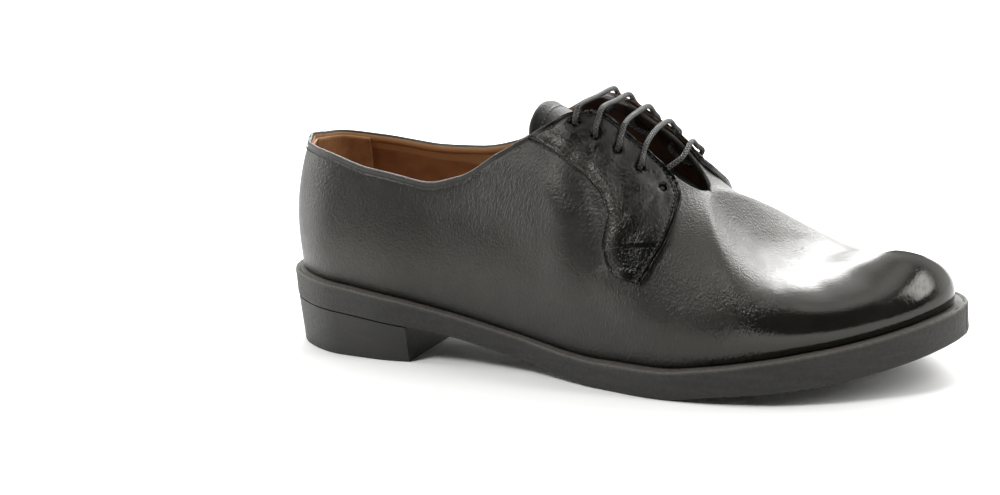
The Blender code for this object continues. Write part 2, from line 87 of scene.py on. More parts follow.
SOLE_ROWS = (
    SoleRow(0.000, 0.000, 0.000, 1.000, 0.00, 1.06, 0.95),
    SoleRow(0.010, 0.205, 0.000, 1.000, 0.00, 1.06, 0.95),
    SoleRow(0.040, 0.400, 0.000, 0.990, 0.00, 1.06, 1.00),
    SoleRow(0.117, 0.602, 0.000, 0.935, 0.00, 1.04, 1.00),
    SoleRow(0.200, 0.641, -0.010, 0.810, 0.00, 1.00, 1.00),
    SoleRow(0.300, 0.588, -0.038, 0.610, 0.00, 0.86, 0.85),
    SoleRow(0.400, 0.607, -0.057, 0.338, 0.00, 0.84, 0.80),
    SoleRow(0.500, 0.730, -0.066, 0.076, 0.00, 0.92, 0.90),
    SoleRow(0.545, 0.800, -0.058, 0.000, 0.00, 0.99, 1.00),
    SoleRow(0.640, 0.952, -0.020, 0.000, 0.00, 1.02, 1.10),
    SoleRow(0.717, 1.000, 0.014, 0.000, 0.16, 1.02, 1.15),
    SoleRow(0.783, 0.981, 0.033, 0.000, 0.29, 1.10, 1.20),
    SoleRow(0.850, 0.882, 0.057, 0.000, 0.435, 1.16, 1.20),
    SoleRow(0.907, 0.711, 0.066, 0.000, 0.60, 1.16, 1.25),
    SoleRow(0.957, 0.495, 0.068, 0.000, 0.80, 1.14, 1.32),
    SoleRow(0.990, 0.232, 0.070, 0.000, 0.95, 1.08, 1.38),
    SoleRow(1.000, 0.000, 0.074, 0.000, 1.00, 1.06, 1.38),
)


class RibRow(NamedTuple):
    """One rib of the upper: where it stands, where it ends, its leans and its handles."""

    foot: float
    along: float
    out: float
    rise_lateral: float
    rise_medial: float
    lean: float
    aim: float
    flare: float
    low: float
    high: float


RIB_ROWS = (
    RibRow(0.000, 0.0420, 0.000, 0.627, 0.627, 24, 0, 2, 0.36, 0.36),
    RibRow(0.100, 0.0620, 0.240, 0.622, 0.618, 22, 52, 6, 0.36, 0.36),
    RibRow(0.200, 0.1170, 0.415, 0.607, 0.591, 18, 78, 16, 0.36, 0.36),
    RibRow(0.280, 0.1930, 0.490, 0.577, 0.575, 15, 88, 20, 0.36, 0.36),
    RibRow(0.340, 0.2670, 0.508, 0.578, 0.611, 15, 90, 20, 0.36, 0.36),
    RibRow(0.400, 0.3300, 0.502, 0.645, 0.682, 18, 90, 18, 0.36, 0.36),
    RibRow(0.440, 0.3930, 0.470, 0.795, 0.835, 24, 90, 18, 0.36, 0.36),
    RibRow(0.480, 0.4570, 0.402, 0.945, 0.978, 34, 90, 18, 0.36, 0.32),
    RibRow(0.515, 0.4970, 0.295, 1.015, 1.020, 46, 90, 20, 0.36, 0.29),
    RibRow(0.540, 0.5270, 0.220, 1.005, 1.008, 50, 90, 20, 0.36, 0.26),
    RibRow(0.580, 0.5700, 0.205, 0.897, 0.925, 54, 90, 22, 0.36, 0.24),
    RibRow(0.600, 0.6000, 0.203, 0.812, 0.855, 57, 90, 23, 0.36, 0.22),
    RibRow(0.620, 0.6230, 0.185, 0.738, 0.780, 62, 90, 24, 0.36, 0.21),
    RibRow(0.640, 0.6420, 0.152, 0.687, 0.708, 70, 90, 25, 0.36, 0.20),
    RibRow(0.660, 0.6550, 0.095, 0.656, 0.660, 80, 90, 25, 0.36, 0.21),
    RibRow(0.680, 0.6630, 0.000, 0.635, 0.635, 90, 90, 25, 0.37, 0.225),
    RibRow(0.700, 0.6790, 0.000, 0.556, 0.556, 90, 90, 24, 0.38, 0.24),
    RibRow(0.720, 0.7000, 0.000, 0.462, 0.462, 90, 90, 23, 0.39, 0.24),
    RibRow(0.750, 0.7350, 0.000, 0.354, 0.354, 90, 90, 22, 0.40, 0.28),
    RibRow(0.800, 0.7900, 0.000, 0.275, 0.275, 90, 92, 20, 0.42, 0.34),
    RibRow(0.850, 0.8330, 0.000, 0.264, 0.264, 90, 98, 18, 0.42, 0.39),
    RibRow(0.900, 0.8670, 0.000, 0.276, 0.276, 90, 112, 16, 0.43, 0.43),
    RibRow(0.950, 0.8950, 0.000, 0.286, 0.286, 90, 142, 14, 0.44, 0.45),
    RibRow(1.000, 0.9120, 0.000, 0.288, 0.288, 90, 180, 12, 0.46, 0.46),
)


class FacingRow(NamedTuple):
    """One line across a facing, from the topline down, between two places on the upper."""

    down: float
    rear_turn: float
    rear_share: float
    front_turn: float
    front_share: float


FACING_ROWS = (
    FacingRow(0.00, 0.466, 0.975, 0.528, 0.985),
    FacingRow(0.12, 0.490, 0.862, 0.556, 0.985),
    FacingRow(0.25, 0.516, 0.754, 0.583, 0.985),
    FacingRow(0.37, 0.539, 0.676, 0.606, 0.985),
    FacingRow(0.47, 0.555, 0.618, 0.625, 0.950),
    FacingRow(0.56, 0.559, 0.558, 0.634, 0.850),
    FacingRow(0.66, 0.556, 0.500, 0.630, 0.720),
    FacingRow(0.77, 0.553, 0.445, 0.621, 0.600),
    FacingRow(0.89, 0.555, 0.387, 0.604, 0.460),
    FacingRow(1.00, 0.562, 0.352, 0.589, 0.350),
)


class EyeletRow(NamedTuple):
    """One pair of eyelets: the rib's foot and the share of that rib."""

    turn: float
    share: float


EYELET_ROWS = (
    EyeletRow(0.517, 0.930),
    EyeletRow(0.541, 0.868),
    EyeletRow(0.567, 0.858),
    EyeletRow(0.590, 0.850),
    EyeletRow(0.612, 0.835),
)


class TongueRow(NamedTuple):
    """One station of the tongue, from its root under the vamp to its top."""

    down: float
    along: float
    rise: float
    half_width: float
    bend: float


TONGUE_ROWS = (
    TongueRow(0.00, 0.6920, 0.448, 0.200, 0.270),
    TongueRow(0.12, 0.6600, 0.595, 0.270, 0.320),
    TongueRow(0.35, 0.6000, 0.722, 0.350, 0.470),
    TongueRow(0.55, 0.5500, 0.815, 0.390, 0.560),
    TongueRow(0.75, 0.5000, 0.890, 0.390, 0.560),
    TongueRow(0.90, 0.4600, 0.943, 0.370, 0.480),
    TongueRow(0.96, 0.4350, 0.978, 0.365, 0.405),
    TongueRow(1.00, 0.4240, 0.990, 0.345, 0.385),
)


class EdgeRow(NamedTuple):
    """One point round the sole's edge: inset and lift in metres, level 0 under to 1 on top."""

    inset: float
    level: float
    lift: float


EDGE_ROWS = (
    EdgeRow(0.0026, 0.0, 0.0),
    EdgeRow(0.0009, 0.0, 0.0),
    EdgeRow(0.0003, 0.0, 0.0002),
    EdgeRow(0.0001, 0.0, 0.0007),
    EdgeRow(0.0000, 0.0, 0.0014),
    EdgeRow(0.0001, 0.3, 0.0),
    EdgeRow(0.0001, 0.5, 0.0),
    EdgeRow(0.0001, 0.7, 0.0),
    EdgeRow(0.0000, 1.0, -0.0016),
    EdgeRow(0.0001, 1.0, -0.0009),
    EdgeRow(0.0004, 1.0, -0.0003),
    EdgeRow(0.0009, 1.0, 0.0),
    EdgeRow(0.0014, 1.0, 0.0),
    EdgeRow(0.0018, 1.0, -0.0003),
    EdgeRow(0.0021, 1.0, -0.0004),
    EdgeRow(0.0025, 1.0, -0.0001),
    EdgeRow(0.0052, 1.0, 0.0),
)


def smooth_table(rows: Sequence[Sequence[float]],
                 stations: Sequence[float]) -> Callable[[float], np.ndarray]:
    """Read every column of a table smoothly and without overshoot.

    Args:
        rows: The table's values, one row for each station.
        stations: Where each row stands, rising.

    Returns:
        A function from a place to the values there.
    """
    xs = np.asarray(stations, float)
    ys = np.asarray(rows, float)
    steps = np.diff(xs)[:, None]
    slopes = np.diff(ys, axis=0) / steps
    tangents = np.zeros_like(ys)
    tangents[0] = slopes[0]
    tangents[-1] = slopes[-1]
    before, after = steps[:-1], steps[1:]
    near, far = slopes[:-1], slopes[1:]
    same_way = near * far > 0
    weight_near = 2 * after + before
    weight_far = after + 2 * before
    safe_near = np.where(same_way, near, 1.0)
    safe_far = np.where(same_way, far, 1.0)
    blended = (weight_near + weight_far) / (weight_near / safe_near + weight_far / safe_far)
    tangents[1:-1] = np.where(same_way, blended, 0.0)

    def read(x: float) -> np.ndarray:
        """Read the table at a place.

        Args:
            x: The place, held to the table's ends.

        Returns:
            The values there.
        """
        x = min(max(x, xs[0]), xs[-1])
        index = min(int(np.searchsorted(xs, x, side="right")) - 1, len(xs) - 2)
        width = xs[index + 1] - xs[index]
        t = (x - xs[index]) / width
        start = (1 + 2 * t) * (1 - t) ** 2
        end = t * t * (3 - 2 * t)
        lead = t * (1 - t) ** 2 * width
        trail = t * t * (t - 1) * width
        return (start * ys[index] + end * ys[index + 1]
                + lead * tangents[index] + trail * tangents[index + 1])

    return read


def turn_at(along: float) -> float:
    """Return the share of a half turn that stands for a share of the sole's length."""
    return math.acos(1 - 2 * along) / math.pi


def fade(value: np.ndarray, low: float, high: float) -> np.ndarray:
    """Return 0 below low, 1 above high and a smooth step between them."""
    t = np.clip((np.asarray(value, float) - low) / (high - low), 0.0, 1.0)
    return t * t * (3 - 2 * t)


def hump(distance: np.ndarray, centre: float, width: float) -> np.ndarray:
    """Return a soft ridge of height 1 at a distance."""
    return np.exp(-((np.asarray(distance, float) - centre) / width) ** 2)


class Ridge(NamedTuple):
    """A bead, or a groove where its height is negative, along an edge, in metres."""

    height: float
    place: float
    width: float


def ridges(distance: np.ndarray, rows: Sequence[Ridge]) -> np.ndarray:
    """Return the height that beads and grooves add at a distance from their edge."""
    return sum(row.height * hump(distance, row.place, row.width) for row in rows)


ROUNDED_EDGE = (Ridge(-0.0008, 0.0, 0.0004),)
TOPLINE_RIDGES = (Ridge(0.0004, 0.0009, 0.0008), Ridge(-0.0003, 0.0026, 0.0006),
                  Ridge(-0.0006, 0.0, 0.00035))
FACING_FRONT_RIDGES = (Ridge(0.0005, 0.0008, 0.00045), Ridge(-0.0004, 0.0016, 0.0003),
                       Ridge(0.0005, 0.0024, 0.00045), Ridge(-0.0003, 0.0034, 0.0005))
FACING_REAR_RIDGES = (Ridge(0.00045, 0.0008, 0.0005), Ridge(0.0006, 0.0045, 0.0028))
FACING_TOP_RIDGES = (Ridge(0.0005, 0.0009, 0.0007), Ridge(-0.0003, 0.0025, 0.0006))
TONGUE_SIDE_RIDGES = (Ridge(-0.0006, 0.0, 0.0005),)
TONGUE_TOP_RIDGES = (Ridge(-0.0006, 0.0, 0.0006), Ridge(0.0003, 0.0016, 0.0010),
                     Ridge(-0.00025, 0.0042, 0.0007))


class Zone(NamedTuple):
    """A stretch along the shoe that fades in and out again, by its X in last coordinates."""

    start: float
    full: float
    waning: float
    end: float

    def weight(self, x: np.ndarray) -> np.ndarray:
        """Return 1 inside the zone and 0 outside it."""
        return fade(x, self.start, self.full) * (1 - fade(x, self.waning, self.end))


FOREFOOT_BEND = Zone(0.150, 0.180, 0.222, 0.250)
QUARTER_BEND = Zone(0.055, 0.095, 0.135, 0.155)


def distance_to_path(points: np.ndarray, path: Sequence[np.ndarray]) -> np.ndarray:
    """Work out how far points lie from a path of straight runs.

    Args:
        points: The points, in an array whose last axis holds their coordinates.
        path: The corners of the path.

    Returns:
        Each point's distance.
    """
    nearest = np.full(points.shape[:-1], np.inf)
    for start, end in zip(path, path[1:]):
        run = end - start
        along = np.clip(((points - start) @ run) / (run @ run), 0.0, 1.0)
        gap = np.linalg.norm(points - (start + along[..., None] * run), axis=-1)
        nearest = np.minimum(nearest, gap)
    return nearest


@dataclass(frozen=True)
class Last:
    """The form that every piece of the shoe follows, worked out from a few sizes."""

    sole_length: float = 0.300
    ball_width: float = 0.1055
    heel_height: float = 0.021
    toe_spring: float = 0.017
    sole_thickness: float = 0.0113
    ledge: float = 0.004
    instep_rise: float = 0.0922
    seat_gap: float = 0.0003
    side_shift: float = 0.00077

    read_outline = staticmethod(smooth_table(
        [(row.half_width, row.swing, row.ledge) for row in SOLE_ROWS],
        [turn_at(row.along) for row in SOLE_ROWS]))
    read_sole_side = staticmethod(smooth_table(
        [(row.lift, row.spring, row.thickness) for row in SOLE_ROWS],
        [row.along for row in SOLE_ROWS]))
    read_rib = staticmethod(smooth_table([row[1:] for row in RIB_ROWS],
                                         [row.foot for row in RIB_ROWS]))
    read_tongue = staticmethod(smooth_table([row[1:] for row in TONGUE_ROWS],
                                            [row.down for row in TONGUE_ROWS]))
    read_facing = staticmethod(smooth_table([row[1:] for row in FACING_ROWS],
                                            [row.down for row in FACING_ROWS]))

    def under(self, x: float) -> float:
        """Return the height of the sole's underside over the floor."""
        lift, spring, _ = self.read_sole_side(x / self.sole_length)
        return self.heel_height * lift + self.toe_spring * spring

    def top(self, x: float) -> float:
        """Return the height of the sole's upper face over the floor."""
        return self.under(x) + self.sole_thickness * self.read_sole_side(x / self.sole_length)[2]

    def edge(self, turn: float, side: Side) -> np.ndarray:
        """Find a place on the sole's edge.

        Args:
            turn: Share of a half turn from the heel's back to the toe's tip.
            side: The side of the foot.

        Returns:
            The plan point.
        """
        half_width, swing, _ = self.read_outline(turn)
        x = self.sole_length * (1 - math.cos(math.pi * turn)) / 2
        return np.array((x, self.ball_width / 2 * (swing + side.value * half_width)))

    def edge_normal(self, turn: float, side: Side) -> np.ndarray:
        """Find the plan direction that points out of the sole's edge.

        Args:
            turn: Share of a half turn from the heel's back to the toe's tip.
            side: The side of the foot.

        Returns:
            The direction, of length 1.
        """
        if turn < EDGE_STEP or turn > 1 - EDGE_STEP:
            return np.array((-1.0 if turn < 0.5 else 1.0, 0.0))
        run = self.edge(turn + EDGE_STEP, side) - self.edge(turn - EDGE_STEP, side)
        run /= np.linalg.norm(run)
        return np.array((-run[1], run[0])) * side.value

    def inset(self, turn: float, side: Side, inset: float) -> np.ndarray:
        """Return the sole's edge moved inward by a distance."""
        return self.edge(turn, side) - inset * self.edge_normal(turn, side)

    @lru_cache(maxsize=None)
    def handles(self, turn: float, side: Side) -> tuple[np.ndarray, ...]:
        """Work out the curve of one rib of the upper.

        Args:
            turn: The rib's foot, as a share of a half turn round the sole.
            side: The side of the foot.

        Returns:
            The curve's four control points, from the sole up.
        """
        along, out, rise_lateral, rise_medial, lean, aim, flare, low, high = self.read_rib(turn)
        plan = self.inset(turn, side, self.ledge * self.read_outline(turn)[2])
        foot = np.append(plan, self.top(plan[0]) + self.seat_gap)
        outward = np.append(self.edge_normal(turn, side), 0.0)
        x = self.sole_length * along
        rise = self.instep_rise * (rise_lateral if side is Side.LATERAL else rise_medial)
        end = np.array((x, side.value * out * self.ball_width / 2, self.top(x) + rise))
        lean, aim, flare = math.radians(lean), math.radians(aim), math.radians(flare)
        heading = np.array((math.cos(aim), -side.value * math.sin(aim), 0.0))
        arrive = heading * math.sin(lean) + np.array((0.0, 0.0, math.cos(lean)))
        leave = outward * math.sin(flare) + np.array((0.0, 0.0, math.cos(flare)))
        length = np.linalg.norm(end - foot)
        return foot, foot + leave * length * low, end - arrive * length * high, end

    def rib(self, turn: float, side: Side, shares: np.ndarray) -> np.ndarray:
        """Find points along one rib.

        Args:
            turn: The rib's foot, as a share of a half turn round the sole.
            side: The side of the foot.
            shares: Places on the rib, 0 at the sole and 1 at its top.

        Returns:
            The points, in last coordinates.
        """
        first, second, third, fourth = self.handles(turn, side)
        t = np.asarray(shares, float)[:, None]
        rest = 1 - t
        return (rest ** 3 * first + 3 * rest ** 2 * t * second
                + 3 * rest * t ** 2 * third + t ** 3 * fourth)

    def normals(self, turn: float, side: Side, shares: np.ndarray) -> np.ndarray:
        """Find the directions that point out of the upper along one rib.

        Args:
            turn: The rib's foot, as a share of a half turn round the sole.
            side: The side of the foot.
            shares: Places on the rib, 0 at the sole and 1 at its top.

        Returns:
            The directions, each of length 1.
        """
        shares = np.asarray(shares, float)
        up = (self.rib(turn, side, np.minimum(shares + SLOPE_STEP, 1.0))
              - self.rib(turn, side, np.maximum(shares - SLOPE_STEP, 0.0)))
        forward = (self.rib(min(turn + SLOPE_STEP, 1.0), side, shares)
                   - self.rib(max(turn - SLOPE_STEP, 0.0), side, shares))
        normal = np.cross(up, forward) * side.value
        if turn in (0.0, 1.0):
            normal[:, 1] = 0.0
        if self.read_rib(turn)[1] == 0.0:
            normal[shares == 1.0, 1] = 0.0
        return normal / np.linalg.norm(normal, axis=1)[:, None]

    def off(self, turn: float, side: Side, share: float, offset: float) -> np.ndarray:
        """Return one point at a distance from the upper's outer face."""
        shares = np.array([share])
        return (self.rib(turn, side, shares) + offset * self.normals(turn, side, shares))[0]

    def seat(self, points: np.ndarray) -> np.ndarray:
        """Move points from last coordinates into the shoe's frame."""
        return np.asarray(points, float) - (self.sole_length / 2, self.side_shift, 0.0)


LAST = Last()


def shaped_grid(points: np.ndarray) -> bmesh.types.BMesh:
    """Move a grid onto a surface.

    Args:
        points: Places in last coordinates, columns by rows by three.

    Returns:
        The sheet, in the shoe's frame, with a UV map that follows it.
    """
    columns, rows, _ = points.shape
    bm = bmesh.new()
    bm.loops.layers.uv.new("UVMap")
    bmesh.ops.create_grid(bm, x_segments=columns - 1, y_segments=rows - 1, size=0.5, calc_uvs=True)
    places = LAST.seat(points)
    for vert in bm.verts:
        column = round((vert.co.x + 0.5) * (columns - 1))
        row = round((vert.co.y + 0.5) * (rows - 1))
        vert.co = places[column, row]
    return bm


def weld(bm: bmesh.types.BMesh) -> None:
    """Join points that lie together."""
    bmesh.ops.remove_doubles(bm, verts=bm.verts, dist=WELD)
    bmesh.ops.dissolve_degenerate(bm, dist=WELD, edges=bm.edges)


def close(bm: bmesh.types.BMesh) -> None:
    """Join a rolled sheet into a closed piece, with its ends filled and its faces outward.

    Args:
        bm: The sheet, rolled round so that its long edges meet.
    """
    weld(bm)
    bmesh.ops.holes_fill(bm, edges=[edge for edge in bm.edges if edge.is_boundary])
    bmesh.ops.recalc_face_normals(bm, faces=bm.faces)


def turn_faces(bm: bmesh.types.BMesh, heading: Sequence[float]) -> None:
    """Turn a sheet's faces so that they look along a heading.

    Args:
        bm: The open sheet.
        heading: The direction that its outer side faces.
    """
    bm.normal_update()
    total = sum((face.normal for face in bm.faces), Vector())
    if total.dot(Vector(heading)) < 0:
        bmesh.ops.reverse_faces(bm, faces=bm.faces)


def paint(bm: bmesh.types.BMesh, name: str,
          value: float | Callable[[np.ndarray], np.ndarray]) -> None:
    """Store a value for each point.

    Args:
        bm: The sheet to paint.
        name: The attribute's name, as the finishes read it.
        value: One value for all, or what works it out from places in last coordinates.
    """
    layer = bm.verts.layers.float.new(name)
    shift = np.array((LAST.sole_length / 2, LAST.side_shift, 0.0))
    places = np.array([tuple(vert.co) for vert in bm.verts]) + shift
    numbers = value(places) if callable(value) else np.full(len(places), value)
    for vert, number in zip(bm.verts, numbers):
        vert[layer] = float(number)


def punch(bm: bmesh.types.BMesh, centre: np.ndarray, axis: np.ndarray, radius: float) -> None:
    """Open a round hole in a sheet and draw its rim onto the circle.

    Args:
        bm: The sheet.
        centre: The hole's middle, in last coordinates.
        axis: The direction that the hole runs in.
        radius: Half its width in metres.
    """
    middle = Vector(LAST.seat(centre))
    line = Vector(axis).normalized()
    reach = 3 * radius

    def away(place: Vector) -> Vector:
        """Return how far a place lies off the hole's axis."""
        offset = place - middle
        return offset - line * offset.dot(line)

    near = [face for face in bm.faces if (face.calc_center_median() - middle).length < reach]
    inside = [face for face in near if away(face.calc_center_median()).length < radius]
    rim = {vert for face in inside for vert in face.verts}
    bmesh.ops.delete(bm, geom=inside, context="FACES")
    for vert in rim:
        if vert.is_valid and vert.link_faces:
            spoke = away(vert.co)
            vert.co += spoke.normalized() * radius - spoke


def open_eyelets(bm: bmesh.types.BMesh, side: Side, offset: float, radius: float) -> None:
    """Punch the eyelets of one side of the foot.

    Args:
        bm: The sheet.
        side: The side of the foot.
        offset: How far the sheet lies off the upper's outer face, in metres.
        radius: Half the holes' width in metres.
    """
    for row in EYELET_ROWS:
        axis = LAST.normals(row.turn, side, np.array([row.share]))[0]
        punch(bm, LAST.off(row.turn, side, row.share, offset), axis, radius)


def solid(piece: bpy.types.Object, wall: float, inner: int = 0) -> None:
    """Give a sheet its wall, inward from its outer face.

    Args:
        piece: The sheet.
        wall: The wall in metres.
        inner: How many materials further on the inner face's material lies.
    """
    made = piece.modifiers.new("wall", "SOLIDIFY")
    made.thickness = wall
    made.offset = -1.0
    made.use_even_offset = False
    made.material_offset = inner


def add_piece(name: str, bm: bmesh.types.BMesh, materials: Sequence[bpy.types.Material],
              node: str | None = None,
              sharp: float = 40.0) -> bpy.types.Object:
    """Turn a bmesh into a finished piece that rides on the shoe.

    Args:
        name: The piece's name.
        bm: Its shape, in the shoe's frame.
        materials: Its materials, by index.
        node: The solid that it stands for, if any.
        sharp: Degrees from which an edge is shaded sharp.

    Returns:
        The piece.
    """
    mesh = bpy.data.meshes.new(name)
    bm.to_mesh(mesh)
    bm.free()
    for material in materials:
        mesh.materials.append(material)
    mesh.shade_smooth()
    mesh.set_sharp_from_angle(angle=math.radians(sharp))
    piece = bpy.data.objects.new(name, mesh)
    bpy.context.scene.collection.objects.link(piece)
    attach(piece, BODY)
    if node:
        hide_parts(node)
    LOG.info("%s: %d faces", name, len(mesh.polygons))
    return piece


class Shader:
    """A material's node tree, built one node at a time."""

    def __init__(self, name: str) -> None:
        """Start a material with its Principled shader and Object coordinates.

        Args:
            name: The material's name.
        """
        self.material = bpy.data.materials.new(name)
        self.material.use_nodes = True
        self.tree = self.material.node_tree
        self.shader = self.tree.nodes["Principled BSDF"]
        self.place = self.add("ShaderNodeTexCoord").outputs["Object"]

    def add(self, kind: str, **settings: object) -> bpy.types.Node:
        """Add a node and set its properties.

        Args:
            kind: The node's type.
            settings: Its properties, by name.

        Returns:
            The node.
        """
        node = self.tree.nodes.new(kind)
        for key, value in settings.items():
            setattr(node, key, value)
        return node

    def feed(self, node: bpy.types.Node, **inputs: object) -> bpy.types.Node:
        """Set or link a node's inputs.

        Args:
            node: The node.
            inputs: A value or a socket for each input, named with _ for a space.

        Returns:
            The node.
        """
        for key, value in inputs.items():
            socket = node.inputs[key.replace("_", " ")]
            if isinstance(value, bpy.types.NodeSocket):
                self.tree.links.new(value, socket)
            else:
                socket.default_value = value
        return node

    def noise(self, size: float, detail: float = 3.0, rough: float = 0.55,
              place: bpy.types.NodeSocket | None = None) -> bpy.types.NodeSocket:
        """Add a noise.

        Args:
            size: About how large its blots are in metres.
            detail: How many finer layers it has.
            rough: How strong those layers are.
            place: The coordinates that it follows, the piece's own if left out.

        Returns:
            The noise, from 0 to 1.
        """
        node = self.add("ShaderNodeTexNoise")
        self.feed(node, Vector=place or self.place, Scale=1 / size, Detail=detail, Roughness=rough)
        return node.outputs["Fac"]

    def cells(self, size: float) -> bpy.types.NodeSocket:
        """Add soft pebbles.

        Args:
            size: About how large they are in metres.

        Returns:
            The distance from each pebble's middle.
        """
        node = self.add("ShaderNodeTexVoronoi", feature="SMOOTH_F1")
        self.feed(node, Vector=self.place, Scale=1 / size, Smoothness=0.6)
        return node.outputs["Distance"]

    def attribute(self, name: str) -> bpy.types.NodeSocket:
        """Return a value that the piece's points carry."""
        return self.add("ShaderNodeAttribute", attribute_name=name).outputs["Fac"]

    def stretched(self, sizes: tuple[float, float, float],
                  turn: float = 0.0) -> bpy.types.NodeSocket:
        """Add stretched coordinates.

        Args:
            sizes: The size along each axis.
            turn: How far they are turned about Y first, in radians.

        Returns:
            The coordinates.
        """
        node = self.add("ShaderNodeMapping", vector_type="TEXTURE")
        node.inputs["Rotation"].default_value = (0.0, turn, 0.0)
        self.feed(node, Vector=self.place, Scale=sizes)
        return node.outputs["Vector"]

    def maths(self, operation: str, first: object, second: object = 0.0,
              third: object = 0.0) -> bpy.types.NodeSocket:
        """Add a calculation with up to three values.

        Args:
            operation: What the Math node does.
            first: Its first value or socket.
            second: Its second value or socket.
            third: Its third value or socket.

        Returns:
            The result.
        """
        node = self.add("ShaderNodeMath", operation=operation)
        for socket, value in zip(node.inputs, (first, second, third)):
            if isinstance(value, bpy.types.NodeSocket):
                self.tree.links.new(value, socket)
            else:
                socket.default_value = value
        return node.outputs[0]

    def span(self, value: bpy.types.NodeSocket, low: float, high: float, to_low: float,
             to_high: float) -> bpy.types.NodeSocket:
        """Move a value from one range to another, held at its ends.

        Args:
            value: The value.
            low: Where the first range starts.
            high: Where the first range ends.
            to_low: Where the second range starts.
            to_high: Where the second range ends.

        Returns:
            The moved value.
        """
        node = self.add("ShaderNodeMapRange")
        self.feed(node, Value=value, From_Min=low, From_Max=high, To_Min=to_low, To_Max=to_high)
        return node.outputs["Result"]

    def blend(self, share: bpy.types.NodeSocket, first: object,
              second: object) -> bpy.types.NodeSocket:
        """Mix two colours.

        Args:
            share: How much of the second one is in the mix.
            first: The first colour or socket.
            second: The second colour or socket.

        Returns:
            The mix.
        """
        node = self.add("ShaderNodeMix", data_type="RGBA")
        self.tree.links.new(share, node.inputs["Factor"])
        for socket, value in ((node.inputs[6], first), (node.inputs[7], second)):
            if isinstance(value, bpy.types.NodeSocket):
                self.tree.links.new(value, socket)
            else:
                socket.default_value = (*value, 1.0)
        return node.outputs[2]

    def bump(self, height: bpy.types.NodeSocket, distance: float) -> None:
        """Press a height into the surface.

        Args:
            height: The height, from 0 to about 1.
            distance: What a height of 1 stands for in metres.
        """
        node = self.add("ShaderNodeBump")
        self.feed(node, Height=height, Distance=distance, Strength=1.0)
        self.tree.links.new(node.outputs["Normal"], self.shader.inputs["Normal"])


@dataclass(frozen=True)
class LeatherFinish:
    """A leather: its colours, its gloss and its grain, in metres."""

    name: str
    colour: Colour
    light_colour: Colour
    roughness: float = 0.42
    polished: float = 0.42
    specular: float = 0.5
    sheen_colour: Colour = (1.0, 0.985, 0.92)
    wear: float = 0.04
    blotch: float = 0.02
    blotch_span: tuple[float, float] = (0.35, 0.65)
    pebble: float = 0.0011
    pebble_depth: float = 0.00008
    polished_grain: float = 0.12
    stroke_size: tuple[float, float, float] = (0.0007, 0.0007, 0.0045)
    stroke_turn: float = 0.2
    stroke_depth: float = 0.0
    band_and_highlight_colour: Colour | None = None
    painted_shade_colour: Colour | None = None

    def material(self) -> bpy.types.Material:
        """Build the leather; points may carry polish, flex, a band and painted shade.

        Returns:
            The material.
        """
        build = Shader(self.name)
        polish, flex = build.attribute("polish"), build.attribute("flex")
        tone = build.span(build.noise(self.blotch, 4.0), *self.blotch_span, 0.0, 1.0)
        colour = build.blend(tone, self.colour, self.light_colour)
        # The band colour is the lining's real paler band along the topline, and a painted highlight behind the
        # facing's rear edge.
        if self.band_and_highlight_colour:
            colour = build.blend(build.attribute("band_and_painted_glint"), colour, self.band_and_highlight_colour)
        # The shade colour is painted shade, darkening the lining in the throat.
        if self.painted_shade_colour:
            colour = build.blend(build.attribute("shade"), colour, self.painted_shade_colour)
        build.feed(build.shader, Base_Color=colour)
        build.shader.inputs["Specular IOR Level"].default_value = self.specular
        build.shader.inputs["Specular Tint"].default_value = (*self.sheen_colour, 1.0)
        wear = build.span(build.noise(self.blotch / 3), *NOISE_SPAN, -self.wear, self.wear)
        smooth = build.span(polish, 0.0, 1.0, self.roughness, self.polished)
        build.feed(build.shader, Roughness=build.maths("ADD", smooth, wear))
        pebbles = build.maths("ADD", build.cells(self.pebble), build.noise(self.pebble / 2, 2.0))
        calm = build.span(polish, 0.0, 1.0, 1.0, self.polished_grain)
        height = build.maths("MULTIPLY", pebbles, calm)
        if self.stroke_depth:
            drawn = build.stretched(self.stroke_size, self.stroke_turn)
            strokes = build.span(build.noise(1.0, 2.0, 0.6, drawn), *NOISE_SPAN, 0.0,
                                 self.stroke_depth / self.pebble_depth)
            height = build.maths("MULTIPLY_ADD", strokes, flex, height)
        build.bump(height, self.pebble_depth)
        return build.material


@dataclass(frozen=True)
class EdgeFinish:
    """A cut, dyed and waxed leather edge: fibrous, matte, a little pitted."""

    name: str
    colour: Colour
    light_colour: Colour
    # Painted highlight of the bevelled top rim.
    painted_rim_highlight_colour: Colour = (0.16, 0.145, 0.12)
    roughness: float = 0.62
    wear: float = 0.1
    pit: float = 0.0016
    depth: float = 0.00016
    layer: float = 0.0022
    layer_stretch: float = 9.0

    def material(self) -> bpy.types.Material:
        """Build the edge, with its layers lying flat; points may carry a painted highlight along the top rim.

        Returns:
            The material.
        """
        build = Shader(self.name)
        long = self.layer * self.layer_stretch
        layers = build.noise(1.0, 3.0, 0.6, build.stretched((long, long, self.layer)))
        specks = build.noise(self.pit, 4.0, 0.7)
        # Painted highlight along the top rim, broken up by the specks.
        painted_rim_highlight = build.maths("MULTIPLY", build.attribute("painted_rim_highlight"), specks)
        tone = build.maths("ADD", build.span(specks, 0.4, 0.75, 0.0, 0.7),
                           build.span(layers, 0.35, 0.75, 0.0, 0.3))
        colour = build.blend(tone, self.colour, self.light_colour)
        colour = build.blend(painted_rim_highlight, colour, self.painted_rim_highlight_colour)
        gloss = build.span(specks, *NOISE_SPAN, self.roughness - self.wear,
                           self.roughness + self.wear)
        build.feed(build.shader, Base_Color=colour, Roughness=gloss)
        build.bump(build.maths("MULTIPLY_ADD", layers, 0.7, specks), self.depth)
        return build.material


